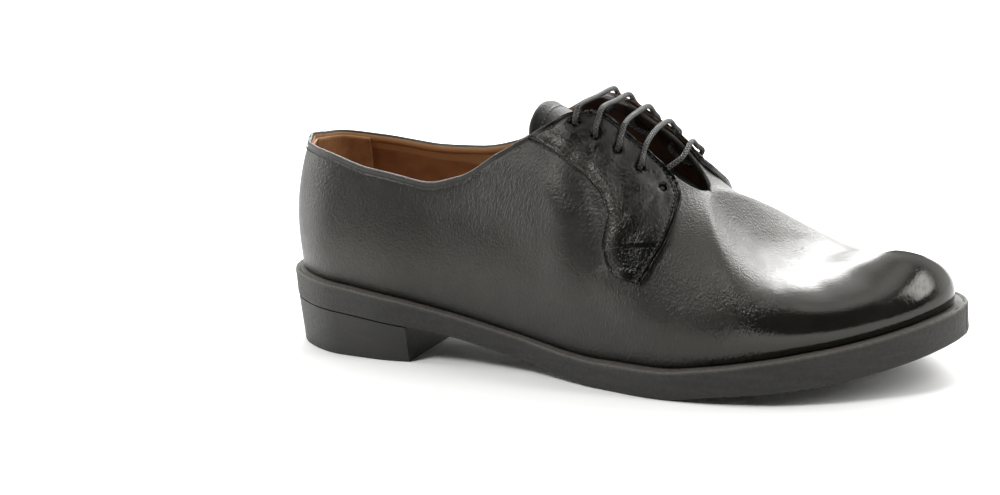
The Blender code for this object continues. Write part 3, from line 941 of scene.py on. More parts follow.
@dataclass(frozen=True)
class CordFinish:
    """A round braided and waxed cord, or its thread."""

    name: str
    colour: Colour
    light_colour: Colour
    strands: float = 4.0
    picks: float = 270.0
    roughness: float = 0.55
    depth: float = 0.00018

    def material(self) -> bpy.types.Material:
        """Build the braid from the piece's own UV map: U along and V round it.

        Returns:
            The material.
        """
        build = Shader(self.name)
        split = build.add("ShaderNodeSeparateXYZ")
        build.tree.links.new(build.add("ShaderNodeTexCoord").outputs["UV"], split.inputs[0])
        waves = []
        for sign in (1.0, -1.0):
            along = build.maths("MULTIPLY", split.outputs["X"], self.picks * math.pi)
            turned = build.maths("MULTIPLY_ADD", split.outputs["Y"],
                                 sign * self.strands * math.pi, along)
            waves.append(build.maths("ABSOLUTE", build.maths("SINE", turned)))
        weave = build.maths("MULTIPLY", waves[0], waves[1])
        fluff = build.noise(0.0004, 2.0)
        fibres = build.maths("MULTIPLY", fluff, 0.4)
        # The braid's crests are painted lighter, a painted highlight on each strand; the fluff adds a fibrous
        # tone.
        tone = build.maths("MULTIPLY_ADD", weave, 0.7, fibres)
        colour = build.blend(tone, self.colour, self.light_colour)
        build.feed(build.shader, Base_Color=colour, Roughness=self.roughness)
        build.bump(build.maths("MULTIPLY_ADD", fluff, 0.25, weave), self.depth)
        return build.material


@dataclass(frozen=True)
class Finishes:
    """Every finish on the shoe."""

    calf: LeatherFinish = LeatherFinish(
        "black_calf", (0.0060, 0.0059, 0.0050), (0.0105, 0.0102, 0.0088),
        roughness=0.42, polished=0.13, pebble_depth=0.00013, stroke_depth=0.00018)
    # The facing's band colour is a painted highlight behind its rear edge.
    facing: LeatherFinish = LeatherFinish(
        "facing_calf", (0.0022, 0.0022, 0.0020), (0.0060, 0.0058, 0.0050),
        roughness=0.22, polished=0.14, specular=0.30, blotch=0.006, pebble=0.0013,
        pebble_depth=0.00014, stroke_depth=0.0002, band_and_highlight_colour=(0.060, 0.058, 0.052))
    tongue: LeatherFinish = LeatherFinish(
        "tongue_calf", (0.0025, 0.0024, 0.0021), (0.006, 0.0058, 0.0050),
        roughness=0.46, specular=0.15, pebble_depth=0.00014, stroke_depth=0.0001)
    # The lining's shade colour is painted shade for the throat.
    lining: LeatherFinish = LeatherFinish(
        "lining", (0.20, 0.085, 0.034), (0.30, 0.135, 0.056),
        roughness=0.5, pebble=0.0007, pebble_depth=0.00005, blotch=0.012,
        band_and_highlight_colour=(0.36, 0.19, 0.085), painted_shade_colour=(0.022, 0.010, 0.005))
    heel_grip: LeatherFinish = LeatherFinish(
        "heel_grip", (0.26, 0.125, 0.052), (0.40, 0.205, 0.092),
        roughness=0.6, pebble=0.0009, pebble_depth=0.00007, blotch=0.008)
    sock: LeatherFinish = LeatherFinish(
        "sock", (0.22, 0.10, 0.042), (0.31, 0.15, 0.066),
        roughness=0.48, pebble=0.0008, pebble_depth=0.00004)
    sole: EdgeFinish = EdgeFinish(
        "sole_edge", (0.006, 0.0057, 0.0050), (0.034, 0.032, 0.028), depth=0.00050)
    heel: EdgeFinish = EdgeFinish(
        "heel_stack", (0.007, 0.0066, 0.0058), (0.019, 0.0175, 0.015), roughness=0.56)
    cord: CordFinish = CordFinish(
        "waxed_cord", (0.002, 0.002, 0.0018), (0.046, 0.045, 0.040), depth=0.0006)
    thread: CordFinish = CordFinish(
        "thread", (0.010, 0.010, 0.009), (0.030, 0.029, 0.026),
        strands=2.0, picks=3.0, depth=0.00005)


class Crease(NamedTuple):
    """A soft trough in the leather: where it runs, how wide and how deep in metres."""

    side: Side
    places: tuple[tuple[float, float], ...]
    width: float
    depth: float


CREASES = (
    Crease(Side.LATERAL, ((0.470, 0.97), (0.505, 0.78), (0.530, 0.66), (0.546, 0.57), (0.546, 0.46),
                          (0.548, 0.38)), 0.0032, 0.0010),
    Crease(Side.LATERAL, ((0.435, 0.98), (0.470, 0.79), (0.497, 0.66), (0.512, 0.56)),
           0.0055, -0.0008),
    Crease(Side.MEDIAL, ((0.470, 0.97), (0.505, 0.78), (0.530, 0.66), (0.546, 0.57), (0.546, 0.46)),
           0.0032, 0.0008),
    Crease(Side.LATERAL, ((0.400, 0.86), (0.445, 0.60), (0.475, 0.40)), 0.0090, 0.0007),
    Crease(Side.LATERAL, ((0.545, 0.30), (0.585, 0.24), (0.630, 0.20)), 0.0080, -0.0005),
    Crease(Side.LATERAL, ((0.610, 0.40), (0.612, 0.14)), 0.0030, 0.00022),
    Crease(Side.LATERAL, ((0.624, 0.38), (0.628, 0.12)), 0.0026, 0.00022),
    Crease(Side.LATERAL, ((0.639, 0.36), (0.644, 0.12)), 0.0026, 0.00020),
    Crease(Side.LATERAL, ((0.655, 0.33), (0.660, 0.12)), 0.0024, 0.00016),
    Crease(Side.MEDIAL, ((0.615, 0.42), (0.620, 0.16)), 0.0040, 0.00025),
    Crease(Side.MEDIAL, ((0.645, 0.38), (0.650, 0.15)), 0.0036, 0.00020),
    Crease(Side.LATERAL, ((0.060, 0.92), (0.075, 0.45), (0.085, 0.12)), 0.0060, 0.00035),
)


TOPLINE_SHARES = (0.04, 0.12, 0.20, 0.27, 0.33, 0.39, 0.46, 0.53)
TOPLINE_HEIGHTS = (0.092, 0.086, 0.0815, 0.0795, 0.0825, 0.0925, 0.1035, 0.108)


@dataclass
class Upper:
    """The hollow whole-cut upper: calf outside, brown lining inside, a bead along the topline."""

    finishes: Finishes
    wall: float = UPPER_WALL
    turns: int = 190
    broad_rows: int = 66
    fine_rows: int = 16
    fine_share: float = 0.93
    backstay_half_width: float = 0.0045
    backstay_edge: float = 0.0006
    backstay_step: float = 0.0005
    backstay_turn: float = 0.2
    throat_turn: float = 0.475
    throat_fade: float = 0.015
    hole: float = EYELET_RADIUS
    polish_from: float = 0.200
    polish_to: float = 0.246
    polish_slant: float = 0.5
    polish_level: float = 0.03
    least_flex: float = 0.18
    high_flex: float = 0.35
    band_low: float = 0.0075
    band_high: float = 0.0068
    shade_from: float = 0.112
    shade_to: float = 0.140

    def shares(self) -> np.ndarray:
        """Return the places of the rows up a rib, finer near its top."""
        broad = np.linspace(0.0, self.fine_share, self.broad_rows, endpoint=False)
        return np.append(broad, np.linspace(self.fine_share, 1.0, self.fine_rows))

    def relief(self, turn: float, points: np.ndarray) -> np.ndarray:
        """Work out how far the bead, its groove and the backstay stand off the last along a rib.

        Args:
            turn: The rib's foot, as a share of a half turn round the sole.
            points: The rib's points, from the sole up.

        Returns:
            The height off the last at each point.
        """
        steps = np.linalg.norm(np.diff(points, axis=0), axis=1)
        below = np.append(np.cumsum(steps[::-1])[::-1], 0.0)
        topline = 1.0 - fade(turn, self.throat_turn - self.throat_fade, self.throat_turn)
        strip = 1.0 - fade(abs(points[:, 1]), self.backstay_half_width,
                           self.backstay_half_width + self.backstay_edge)
        strip = strip * (turn < self.backstay_turn)
        return ridges(below, TOPLINE_RIDGES) * topline + self.backstay_step * strip

    def build(self) -> bpy.types.Object:
        """Make the upper's sheet, press its creases in, open its eyelets and give it its wall.

        Returns:
            The upper.
        """
        shares = self.shares()
        side_turns = [index / self.turns for index in range(self.turns + 1)]
        route = [(turn, Side.LATERAL) for turn in side_turns]
        route += [(turn, Side.MEDIAL) for turn in side_turns[-2::-1]]
        points = np.array([LAST.rib(turn, side, shares) for turn, side in route])
        normals = np.array([LAST.normals(turn, side, shares) for turn, side in route])
        offsets = np.array([self.relief(turn, column) for (turn, _), column in zip(route, points)])
        for crease in CREASES:
            path = [LAST.off(turn, crease.side, share, 0.0) for turn, share in crease.places]
            offsets -= crease.depth * hump(distance_to_path(points, path), 0.0, crease.width)
        bm = shaped_grid(points + normals * offsets[..., None])
        weld(bm)
        paint(bm, "polish", self.polish)
        paint(bm, "flex", self.flex)
        paint(bm, "band_and_painted_glint", self.band_and_painted_glint)
        # Painted shade: the lining darkens towards the throat.
        paint(bm, "shade", lambda places: fade(places[:, 0], self.shade_from, self.shade_to))
        for side in Side:
            open_eyelets(bm, side, 0.0, self.hole)
        materials = [self.finishes.calf.material(), self.finishes.lining.material()]
        upper = add_piece("upper_leather", bm, materials, "upper")
        solid(upper, self.wall, inner=1)
        return upper

    def polish(self, places: np.ndarray) -> np.ndarray:
        """Return how polished the toe is."""
        slanted = places[:, 0] + self.polish_slant * (self.polish_level - places[:, 2])
        return fade(slanted, self.polish_from, self.polish_to)

    def flex(self, places: np.ndarray) -> np.ndarray:
        """Work out how much the leather has drawn into strokes at the bends.

        Args:
            places: Places in last coordinates.

        Returns:
            The share of the full strokes at each place.
        """
        x, z = places[:, 0], places[:, 2]
        low = 1 - fade(z, 0.030, 0.060)
        forefoot = FOREFOOT_BEND.weight(x) * (self.high_flex + (1 - self.high_flex) * low)
        quarter = QUARTER_BEND.weight(x) * fade(z, 0.045, 0.075)
        return np.clip(self.least_flex + forefoot + quarter, 0.0, 1.0)

    def band_and_painted_glint(self, places: np.ndarray) -> np.ndarray:
        """Return where the lining is the paler band along the topline."""
        edge = np.interp(places[:, 0] / LAST.sole_length, TOPLINE_SHARES, TOPLINE_HEIGHTS)
        return fade(places[:, 2], edge - self.band_low, edge - self.band_high)


@dataclass
class Facing:
    """One eyelet facing: a glossy plate with beads, dimpled eyelets and a boxed foot."""

    finishes: Finishes
    side: Side
    wall: float = FACING_WALL
    gap: float = FACING_GAP
    stations: int = 110
    columns: int = 56
    hole: float = EYELET_RADIUS
    dimple: float = 0.0003
    dimple_width: float = 0.0013
    box_top: float = 0.80
    box_bottom: float = 0.95
    box_blend: float = 0.012
    box_step: float = 0.00045
    box_ridge: float = 0.0002
    box_seam: float = 0.022
    pucker: float = 0.00022
    pucker_place: float = 0.0070
    pucker_width: float = 0.0045
    pucker_count: int = 7
    ripple: float = 0.00018
    polish: float = 0.3
    flex: float = 0.55
    shade: float = 0.85
    # Painted highlight behind the rear edge: its place, its width and the share left between the painted
    # glints.
    painted_highlight_place: float = 0.0036
    painted_highlight_width: float = 0.0022
    painted_highlight_share: float = 0.55
    front_seam: float = 0.0036
    rear_seam: float = 0.0030
    least_width: float = 0.009

    @property
    def name(self) -> str:
        """Return the name of the facing's solid."""
        return f"facing_{self.side.name.lower()}"

    def place(self, down: float, across: float) -> tuple[float, float]:
        """Return the turn and share of a place, from 0 at the rear edge to 1 at the front."""
        rear_turn, rear_share, front_turn, front_share = LAST.read_facing(down)
        return (rear_turn + (front_turn - rear_turn) * across,
                rear_share + (front_share - rear_share) * across)

    def edge_point(self, down: float, across: float, lift: float) -> np.ndarray:
        """Return a point over the facing's outer face."""
        turn, share = self.place(down, across)
        return LAST.off(turn, self.side, share, self.gap + self.wall + lift)

    def surface(self) -> tuple[np.ndarray, np.ndarray]:
        """Lay the facing's grid on the last, its columns closer together at the edges.

        Returns:
            The points, and the directions out of them.
        """
        across = (1 - np.cos(math.pi * np.arange(self.columns + 1) / self.columns)) / 2
        points, normals = [], []
        for station in range(self.stations + 1):
            line = [self.place(station / self.stations, part) for part in across]
            points.append([LAST.off(turn, self.side, share, 0.0) for turn, share in line])
            normals.append([LAST.normals(turn, self.side, np.array([share]))[0]
                            for turn, share in line])
        return np.array(points), np.array(normals)

    def relief(self, points: np.ndarray) -> np.ndarray:
        """Work out the beads, rounded edges, boxed foot and dimples of the facing.

        Args:
            points: The facing's grid on the last.

        Returns:
            The height that each point has over the plain plate.
        """
        across = np.linalg.norm(np.diff(points, axis=1), axis=2)
        from_rear = np.concatenate([np.zeros((len(points), 1)), np.cumsum(across, axis=1)], axis=1)
        from_front = from_rear[:, -1:] - from_rear
        downward = np.linalg.norm(np.diff(points, axis=0), axis=2)
        from_top = np.concatenate([np.zeros((1, points.shape[1])), np.cumsum(downward, axis=0)])
        from_foot = from_top[-1:] - from_top
        relief = ridges(from_front, FACING_FRONT_RIDGES)
        relief += ridges(from_rear, FACING_REAR_RIDGES) + ridges(from_top, FACING_TOP_RIDGES)
        for edge in (from_rear, from_front, from_top, from_foot):
            relief += ridges(edge, ROUNDED_EDGE)
        down = np.linspace(0.0, 1.0, self.stations + 1)[:, None] + 0.0 * from_rear
        relief -= self.box_step * fade(down, self.box_top, self.box_top + self.box_blend)
        relief += self.box_ridge * hump(down, self.box_bottom, self.box_blend)
        for row in EYELET_ROWS:
            centre = LAST.off(row.turn, self.side, row.share, 0.0)
            reach = np.linalg.norm(points - centre, axis=2)
            relief -= self.dimple * hump(reach, self.hole, self.dimple_width)
        return relief + self.puckers(points) + self.ripples(points, from_front)

    def puckers(self, points: np.ndarray) -> np.ndarray:
        """Work out the puckers round the lowest eyelet.

        Args:
            points: The facing's grid on the last.

        Returns:
            The height that they add at each point.
        """
        lowest = EYELET_ROWS[-1]
        spread = points - LAST.off(lowest.turn, self.side, lowest.share, 0.0)
        angle = np.arctan2(spread[..., 2], spread[..., 0])
        near = hump(np.linalg.norm(spread, axis=2), self.pucker_place, self.pucker_width)
        return self.pucker * near * np.sin(self.pucker_count * angle)

    def ripples(self, points: np.ndarray, from_front: np.ndarray) -> np.ndarray:
        """Return the faint ripples of the leather away from the front edge."""
        waves = np.sin(points[..., 0] * 610 + 1.7 * np.sin(points[..., 2] * 240))
        return self.ripple * waves * fade(from_front, 0.004, 0.009)

    def build(self) -> bpy.types.Object:
        """Make the facing's sheet, its eyelets and its wall.

        Returns:
            The facing.
        """
        points, normals = self.surface()
        lift = self.gap + self.wall + self.relief(points)
        bm = shaped_grid(points + normals * lift[..., None])
        turn_faces(bm, normals[self.stations // 2, self.columns // 2])
        paint(bm, "polish", self.polish)
        paint(bm, "flex", self.flex)
        # Painted shade on the lining of the medial facing's inner face.
        paint(bm, "shade", self.shade)
        # Painted highlight behind the rear edge, broken into painted glints.
        paint(bm, "band_and_painted_glint", self.painted_glints)
        open_eyelets(bm, self.side, self.gap + self.wall, self.hole)
        inner = self.finishes.facing if self.side is Side.LATERAL else self.finishes.lining
        materials = [self.finishes.facing.material(), inner.material()]
        facing = add_piece(f"{self.name}_leather", bm, materials, self.name)
        solid(facing, self.wall, inner=1)
        return facing

    def painted_glints(self, places: np.ndarray) -> np.ndarray:
        """Work out the painted highlight behind the rear edge, broken up into painted glints.

        Args:
            places: Places in last coordinates.

        Returns:
            The share of the painted highlight's colour at each place.
        """
        rear = [self.edge_point(down, 0.0, 0.0) for down in np.linspace(0.0, 0.97, 60)]
        band_and_painted_glint = hump(distance_to_path(places, rear), self.painted_highlight_place, self.painted_highlight_width)
        grain = np.sin(places[:, 0] * 2900) * np.sin(places[:, 2] * 3300)
        return band_and_painted_glint * (self.painted_highlight_share + (1 - self.painted_highlight_share) * grain)

    def seams(self) -> list[list[np.ndarray]]:
        """Trace the lines that the facing's stitches follow.

        Returns:
            The front and rear seams and the two across the boxed foot.
        """
        downs = [down for down in np.linspace(0.02, 0.98, 60)
                 if self.width(down) > self.least_width]
        front = [self.edge_point(down, 1 - self.front_seam / self.width(down), STITCH_LIFT)
                 for down in downs]
        rear = [self.edge_point(down, self.rear_seam / self.width(down), STITCH_LIFT)
                for down in downs]
        box = [[self.edge_point(down, part, -0.0003) for part in np.linspace(0.12, 0.88, 12)]
               for down in (self.box_top + self.box_seam, self.box_bottom)]
        return [front, rear, *box]

    def width(self, down: float) -> float:
        """Return how wide the facing is at one line across."""
        across = self.edge_point(down, 1.0, 0.0) - self.edge_point(down, 0.0, 0.0)
        return float(np.linalg.norm(across))


@dataclass
class Tongue:
    """The tongue: a convex leaf of calf, lined, with rounded top corners and a stitched hem."""

    finishes: Finishes
    wall: float = 0.0026
    stations: int = 90
    columns: int = 48
    corner: float = 0.0028
    lean: float = 0.3
    crowding: float = 1.6
    side_reach: float = 0.016
    flex: float = 0.4
    seam_down: float = 0.945
    seam_reach: float = 0.86
    seam_points: int = 24

    def point(self, down: float, across: float, lift: float = 0.0) -> np.ndarray:
        """Work out a point of the outer face.

        Args:
            down: Share of the way up, 0 at the root and 1 at the top.
            across: From -1 on the lateral edge to 1 on the medial edge.
            lift: How far the point stands off the face.

        Returns:
            The point, in last coordinates.
        """
        along, rise, half_width, bend = LAST.read_tongue(down)
        x = LAST.sole_length * along
        half = half_width * LAST.ball_width / 2
        left = x - LAST.sole_length * LAST.read_tongue(1.0)[0]
        if left < self.corner:
            half -= self.corner - math.sqrt(max(self.corner ** 2 - (self.corner - left) ** 2, 0.0))
        y = across * half
        radius = bend * LAST.ball_width / 2
        drop = radius - math.sqrt(radius ** 2 - y ** 2)
        outward = np.array((self.lean, y / radius, 1.0))
        outward /= np.linalg.norm(outward)
        return np.array((x, y, LAST.top(x) + LAST.instep_rise * rise - drop)) + lift * outward

    def build(self) -> bpy.types.Object:
        """Make the tongue, its stations closer together at the top.

        Returns:
            The tongue.
        """
        top = LAST.read_tongue(1.0)[0]
        points = []
        for station in range(self.stations + 1):
            down = 1 - (station / self.stations) ** self.crowding
            from_top = (LAST.read_tongue(down)[0] - top) * LAST.sole_length
            line = []
            for column in range(self.columns + 1):
                across = math.sin(math.pi * (column / self.columns - 0.5))
                from_side = (1 - abs(across)) * self.side_reach
                lift = ridges(from_side, TONGUE_SIDE_RIDGES) + ridges(from_top, TONGUE_TOP_RIDGES)
                line.append(self.point(down, across, float(lift)))
            points.append(line)
        bm = shaped_grid(np.array(points))
        turn_faces(bm, (0.0, 0.0, 1.0))
        paint(bm, "flex", self.flex)
        materials = [self.finishes.tongue.material(), self.finishes.lining.material()]
        tongue = add_piece("tongue_leather", bm, materials, "tongue")
        solid(tongue, self.wall, inner=1)
        return tongue

    def seam(self) -> list[np.ndarray]:
        """Return the line that the tongue's stitches follow, along its top edge."""
        return [self.point(self.seam_down, across, STITCH_LIFT)
                for across in np.linspace(-self.seam_reach, self.seam_reach, self.seam_points)]


@dataclass
class Lace:
    """The lace: five bars over the throat and the hidden runs, through every eyelet."""

    finishes: Finishes
    diameter: float = 0.0022
    lift: float = 0.0006
    arch: float = 0.0002
    lead: float = 0.012
    return_drop: float = 0.085
    facing_wall: float = FACING_WALL
    facing_gap: float = FACING_GAP
    upper_wall: float = UPPER_WALL
    sides: int = 16
    step: float = 0.0007

    @property
    def inside(self) -> float:
        """Return how far inside the last a hidden run lies."""
        return self.upper_wall + self.diameter / 2 + self.lift

    @property
    def outside(self) -> float:
        """Return how far outside the last a bar lies."""
        return self.facing_gap + self.facing_wall + self.diameter / 2 + self.lift

    def through(self, row: EyeletRow, side: Side, outward: bool) -> list[np.ndarray]:
        """Trace the lace through one eyelet.

        Args:
            row: The pair of eyelets.
            side: The side of the foot.
            outward: Whether it comes out of the shoe or goes back in.

        Returns:
            The points on its way.
        """
        points = [LAST.off(row.turn, side, row.share, -self.inside),
                  LAST.off(row.turn, side, row.share, (self.outside - self.inside) / 2),
                  LAST.off(row.turn, side, row.share + self.lead, self.outside)]
        return points if outward else points[::-1]

    def bar(self, row: EyeletRow, start: Side, tucked: bool) -> list[np.ndarray]:
        """Trace a bar over the throat.

        Args:
            row: The pair of eyelets.
            start: The side that it starts from.
            tucked: Whether it starts under the edge of the upper.

        Returns:
            The points on its way.
        """
        end = Side(-start.value)
        middle_share = (row.share + 1) / 2
        first = LAST.off(row.turn, start, 1.0, self.outside)
        last = LAST.off(row.turn, end, 1.0, self.outside)
        crown = (first + last) / 2
        crown[2] = max(first[2], last[2]) + self.arch
        arrive = LAST.off(row.turn, end, middle_share, self.outside)
        if tucked:
            edge = LAST.off(row.turn, start, 1.0, -self.inside)
            crown[2] = (edge[2] + last[2]) / 2 + self.arch
            under = LAST.off(row.turn, start, middle_share, -self.inside)
            return [under, edge, crown, last, arrive]
        return [LAST.off(row.turn, start, middle_share, self.outside), first, crown, last, arrive]

    def route(self) -> list[np.ndarray]:
        """Trace the whole lace: up one hidden run, then bar after bar to the top.

        Returns:
            The points on its way.
        """
        points = [LAST.off(row.turn, Side.LATERAL, row.share - self.return_drop, -self.inside)
                  for row in EYELET_ROWS[:-1]]
        lowest = EYELET_ROWS[-1]
        points.append(LAST.off(lowest.turn, Side.LATERAL, lowest.share, -0.0002))
        side = Side.LATERAL
        for index, row in enumerate(reversed(EYELET_ROWS)):
            if index > 0:
                points += self.through(row, side, True)
            points += self.bar(row, side, index == 0)
            side = Side(-side.value)
            points += self.through(row, side, False)
        end = EYELET_ROWS[0]
        points.append(LAST.off(end.turn, side, end.share, -self.inside - self.diameter / 2))
        return points

    def build(self) -> bpy.types.Object:
        """Make the cord round its smoothed route.

        Returns:
            The lace.
        """
        path = smooth_path(self.route(), self.step)
        bm = tube(path, self.diameter / 2, self.sides)
        return add_piece("lace_cord", bm, [self.finishes.cord.material()], "lace")


def smooth_path(route: Sequence[np.ndarray], step: float) -> np.ndarray:
    """Draw a smooth curve through a route.

    Args:
        route: The points that it passes.
        step: About how far apart its own points lie, in metres.

    Returns:
        The curve's points.
    """
    ends = [2 * route[0] - route[1]] + list(route) + [2 * route[-1] - route[-2]]
    path = [route[0]]
    for before, start, end, after in zip(ends, ends[1:], ends[2:], ends[3:]):
        pieces = max(1, round(np.linalg.norm(end - start) / step))
        gaps = [math.sqrt(np.linalg.norm(far - near))
                for near, far in ((before, start), (start, end), (end, after))]
        leave = ((start - before) / gaps[0] - (end - before) / (gaps[0] + gaps[1])
                 + (end - start) / gaps[1]) * gaps[1]
        arrive = ((end - start) / gaps[1] - (after - start) / (gaps[1] + gaps[2])
                  + (after - end) / gaps[2]) * gaps[1]
        for index in range(1, pieces + 1):
            t = index / pieces
            path.append((1 + 2 * t) * (1 - t) ** 2 * start + t * (1 - t) ** 2 * leave
                        + t * t * (3 - 2 * t) * end + t * t * (t - 1) * arrive)
    return np.array(path)


def tube(path: np.ndarray, radius: float, sides: int) -> bmesh.types.BMesh:
    """Make a round cord along a path, with closed ends and a UV map along and round it.

    Args:
        path: The points that the cord follows.
        radius: Half its thickness in metres.
        sides: How many faces run round it.

    Returns:
        The cord.
    """
    rings = []
    across = np.array((0.0, 1.0, 0.0))
    angles = np.linspace(0.0, 2 * math.pi, sides + 1)[:, None]
    for index, place in enumerate(path):
        run = path[min(index + 1, len(path) - 1)] - path[max(index - 1, 0)]
        run /= np.linalg.norm(run)
        across = across - run * (across @ run)
        across /= np.linalg.norm(across)
        other = np.cross(run, across)
        rings.append(place + radius * (np.cos(angles) * across + np.sin(angles) * other))
    bm = shaped_grid(np.array(rings))
    close(bm)
    return bm


@dataclass
class Sole:
    """The one-layer sole and the heel block under its seat."""

    finishes: Finishes
    end_turn: float = 0.003
    stations: int = 190
    most_inset: float = 0.45
    top_parts: int = 4
    under_parts: int = 8
    heel_breast: float = 0.0705
    heel_inset: float = 0.0003
    heel_taper: float = 0.0008
    heel_round: float = 0.0007
    heel_parts: int = 5
    # Painted highlight along the top rim: where it lies, how wide and how strong.
    painted_rim_highlight_place: float = -0.0003
    painted_rim_highlight_width: float = 0.0006
    painted_rim_highlight_share: float = 0.8

    def rim(self, turn: float, side: Side, inset: float) -> np.ndarray:
        """Return the edge moved inward, by at most a share of half the width."""
        half = float(LAST.edge(turn, Side.MEDIAL)[1] - LAST.edge(turn, Side.LATERAL)[1]) / 2
        return LAST.inset(turn, side, min(inset, self.most_inset * half))

    def ring(self, turn: float) -> np.ndarray:
        """Trace a closed ring across the sole.

        Args:
            turn: Share of a half turn from the heel's back to the toe's tip.

        Returns:
            The ring's points, from the lateral edge over the top and back under.
        """
        sides = []
        for side in Side:
            line = []
            for row in EDGE_ROWS:
                x, y = self.rim(turn, side, row.inset)
                low, high = LAST.under(x), LAST.top(x)
                line.append((x, y, low + (high - low) * row.level + row.lift))
            sides.append(line)
        lateral, medial = sides
        over = [self.between(lateral[-1], medial[-1], part / self.top_parts, LAST.top)
                for part in range(1, self.top_parts)]
        below = [self.between(medial[0], lateral[0], part / self.under_parts, LAST.under)
                 for part in range(1, self.under_parts)]
        return np.array(lateral + over + medial[::-1] + below + lateral[:1])

    @staticmethod
    def between(start: Sequence[float], end: Sequence[float], part: float,
                height: Callable[[float], float]) -> tuple[float, float, float]:
        """Return a point part of the way over, at the height that the sole has there."""
        x = start[0] + (end[0] - start[0]) * part
        return x, start[1] + (end[1] - start[1]) * part, height(x)

    def closed(self, rings: Sequence[np.ndarray], name: str, finish: EdgeFinish, node: str) -> bpy.types.Object:
        """Make a closed block through rings.

        Args:
            rings: Closed rings, from the heel's back forward.
            name: The piece's name.
            finish: The finish of its edge.
            node: The solid that it stands for.

        Returns:
            The piece.
        """
        bm = shaped_grid(np.array(rings))
        close(bm)
        # Painted highlight along the top rim.
        paint(bm, "painted_rim_highlight", self.painted_rim_highlight)
        return add_piece(name, bm, [finish.material()], node, sharp=50.0)

    def painted_rim_highlight(self, places: np.ndarray) -> np.ndarray:
        """Return the painted highlight along the edge's top rim."""
        tops = np.array([LAST.top(x) for x in np.clip(places[:, 0], 0.0, LAST.sole_length)])
        return hump(places[:, 2] - tops, self.painted_rim_highlight_place, self.painted_rim_highlight_width) * self.painted_rim_highlight_share

    def build_outsole(self) -> bpy.types.Object:
        """Return the finished sole."""
        turns = np.linspace(self.end_turn, 1 - self.end_turn, self.stations)
        return self.closed([self.ring(turn) for turn in turns], "sole_edge_leather",
                           self.finishes.sole, "outsole")

    def build_heel(self) -> bpy.types.Object:
        """Make the heel block, with its corners eased.

        Returns:
            The heel block.
        """
        breast = turn_at(self.heel_breast / LAST.sole_length)
        base, eased = self.heel_inset + self.heel_taper, self.heel_round
        foot = [(base + 3 * eased, 0.0), (base + eased, 0.0), (base + 0.3 * eased, 0.3 * eased),
                (base, eased)]
        parts = [part / self.heel_parts for part in range(1, self.heel_parts + 1)]
        rings = []
        for turn in np.linspace(self.end_turn, breast, self.stations // 2):
            sides = []
            for side in Side:
                line = [(*self.rim(turn, side, inset), height) for inset, height in foot]
                for part in parts:
                    x, y = self.rim(turn, side, self.heel_inset + self.heel_taper * (1 - part))
                    line.append((x, y, part * (LAST.under(x) - LAST.seat_gap)))
                sides.append(line)
            lateral, medial = sides
            rings.append(np.array(lateral + medial[::-1] + lateral[:1]))
        return self.closed(rings, "heel_block", self.finishes.heel, "heel")


@dataclass
class HeelGrip:
    """The paler leather piece inside the back of the collar."""

    finishes: Finishes
    reach: float = 0.172
    low_share: float = 0.42
    high_share: float = 0.972
    depth: float = 0.0022
    wall: float = 0.0007
    columns: int = 60
    rows: int = 24

    def build(self) -> bpy.types.Object:
        """Make the grip, a thin sheet against the lining.

        Returns:
            The grip.
        """
        shares = np.linspace(self.high_share, self.low_share, self.rows)
        turns = np.linspace(0.0, self.reach, self.columns)
        route = [(turn, Side.LATERAL) for turn in turns[::-1]]
        route += [(turn, Side.MEDIAL) for turn in turns[1:]]
        depth = self.depth + self.wall
        bm = shaped_grid(np.array([
            LAST.rib(turn, side, shares) - depth * LAST.normals(turn, side, shares)
            for turn, side in route]))
        turn_faces(bm, (1.0, 0.0, 0.0))
        grip = add_piece("heel_grip", bm, [self.finishes.heel_grip.material()], None)
        solid(grip, self.wall)
        return grip


@dataclass
class Stitching:
    """Rows of single stitches, each a small sunken grain of thread."""

    finishes: Finishes
    pitch: float = 0.0021
    length: float = 0.0015
    width: float = 0.00055
    segments: tuple[int, int] = (6, 4)
    topline_depth: float = 0.0034
    topline_end: float = 0.462
    topline_points: int = 120

    def sew(self, name: str, seams: Sequence[Sequence[np.ndarray]]) -> bpy.types.Object:
        """Lay stitches along seams and join them as one piece.

        Args:
            name: The piece's name.
            seams: The lines that the stitches follow, in last coordinates.

        Returns:
            The stitches.
        """
        bm = bmesh.new()
        bm.loops.layers.uv.new("UVMap")
        size = Matrix.Diagonal((self.length / 2, self.width / 2, self.width / 2, 1.0))
        for seam in seams:
            places = np.array(seam)
            steps = np.append(0.0, np.cumsum(np.linalg.norm(np.diff(places, axis=0), axis=1)))
            marks = np.arange(self.pitch / 2, steps[-1], self.pitch)
            centres, aheads = (
                np.stack([np.interp(at, steps, places[:, axis]) for axis in range(3)], axis=1)
                for at in (marks, marks + self.pitch / 4))
            for centre, ahead in zip(LAST.seat(centres), LAST.seat(aheads)):
                turn = Vector(ahead - centre).to_track_quat("X", "Z").to_matrix().to_4x4()
                bmesh.ops.create_uvsphere(
                    bm, u_segments=self.segments[0], v_segments=self.segments[1], radius=1.0,
                    matrix=Matrix.Translation(centre) @ turn @ size)
        return add_piece(name, bm, [self.finishes.thread.material()])

    def topline(self) -> bpy.types.Object:
        """Sew the row just under the topline's bead, on both sides.

        Returns:
            The stitches.
        """
        seams = []
        for side in Side:
            seam = []
            for turn in np.linspace(0.0, self.topline_end, self.topline_points):
                top, below = (LAST.off(turn, side, share, 0.0) for share in (1.0, 0.9))
                down = self.topline_depth / (np.linalg.norm(top - below) * 10)
                seam.append(LAST.off(turn, side, 1 - down, STITCH_LIFT))
            seams.append(seam)
        return self.sew("topline_stitches", seams)


class SoftBox(NamedTuple):
    """A soft box that faces the shoe: its place and size in metres, and its power in watts."""

    name: str
    place: tuple[float, float, float]
    size: tuple[float, float]
    power: float


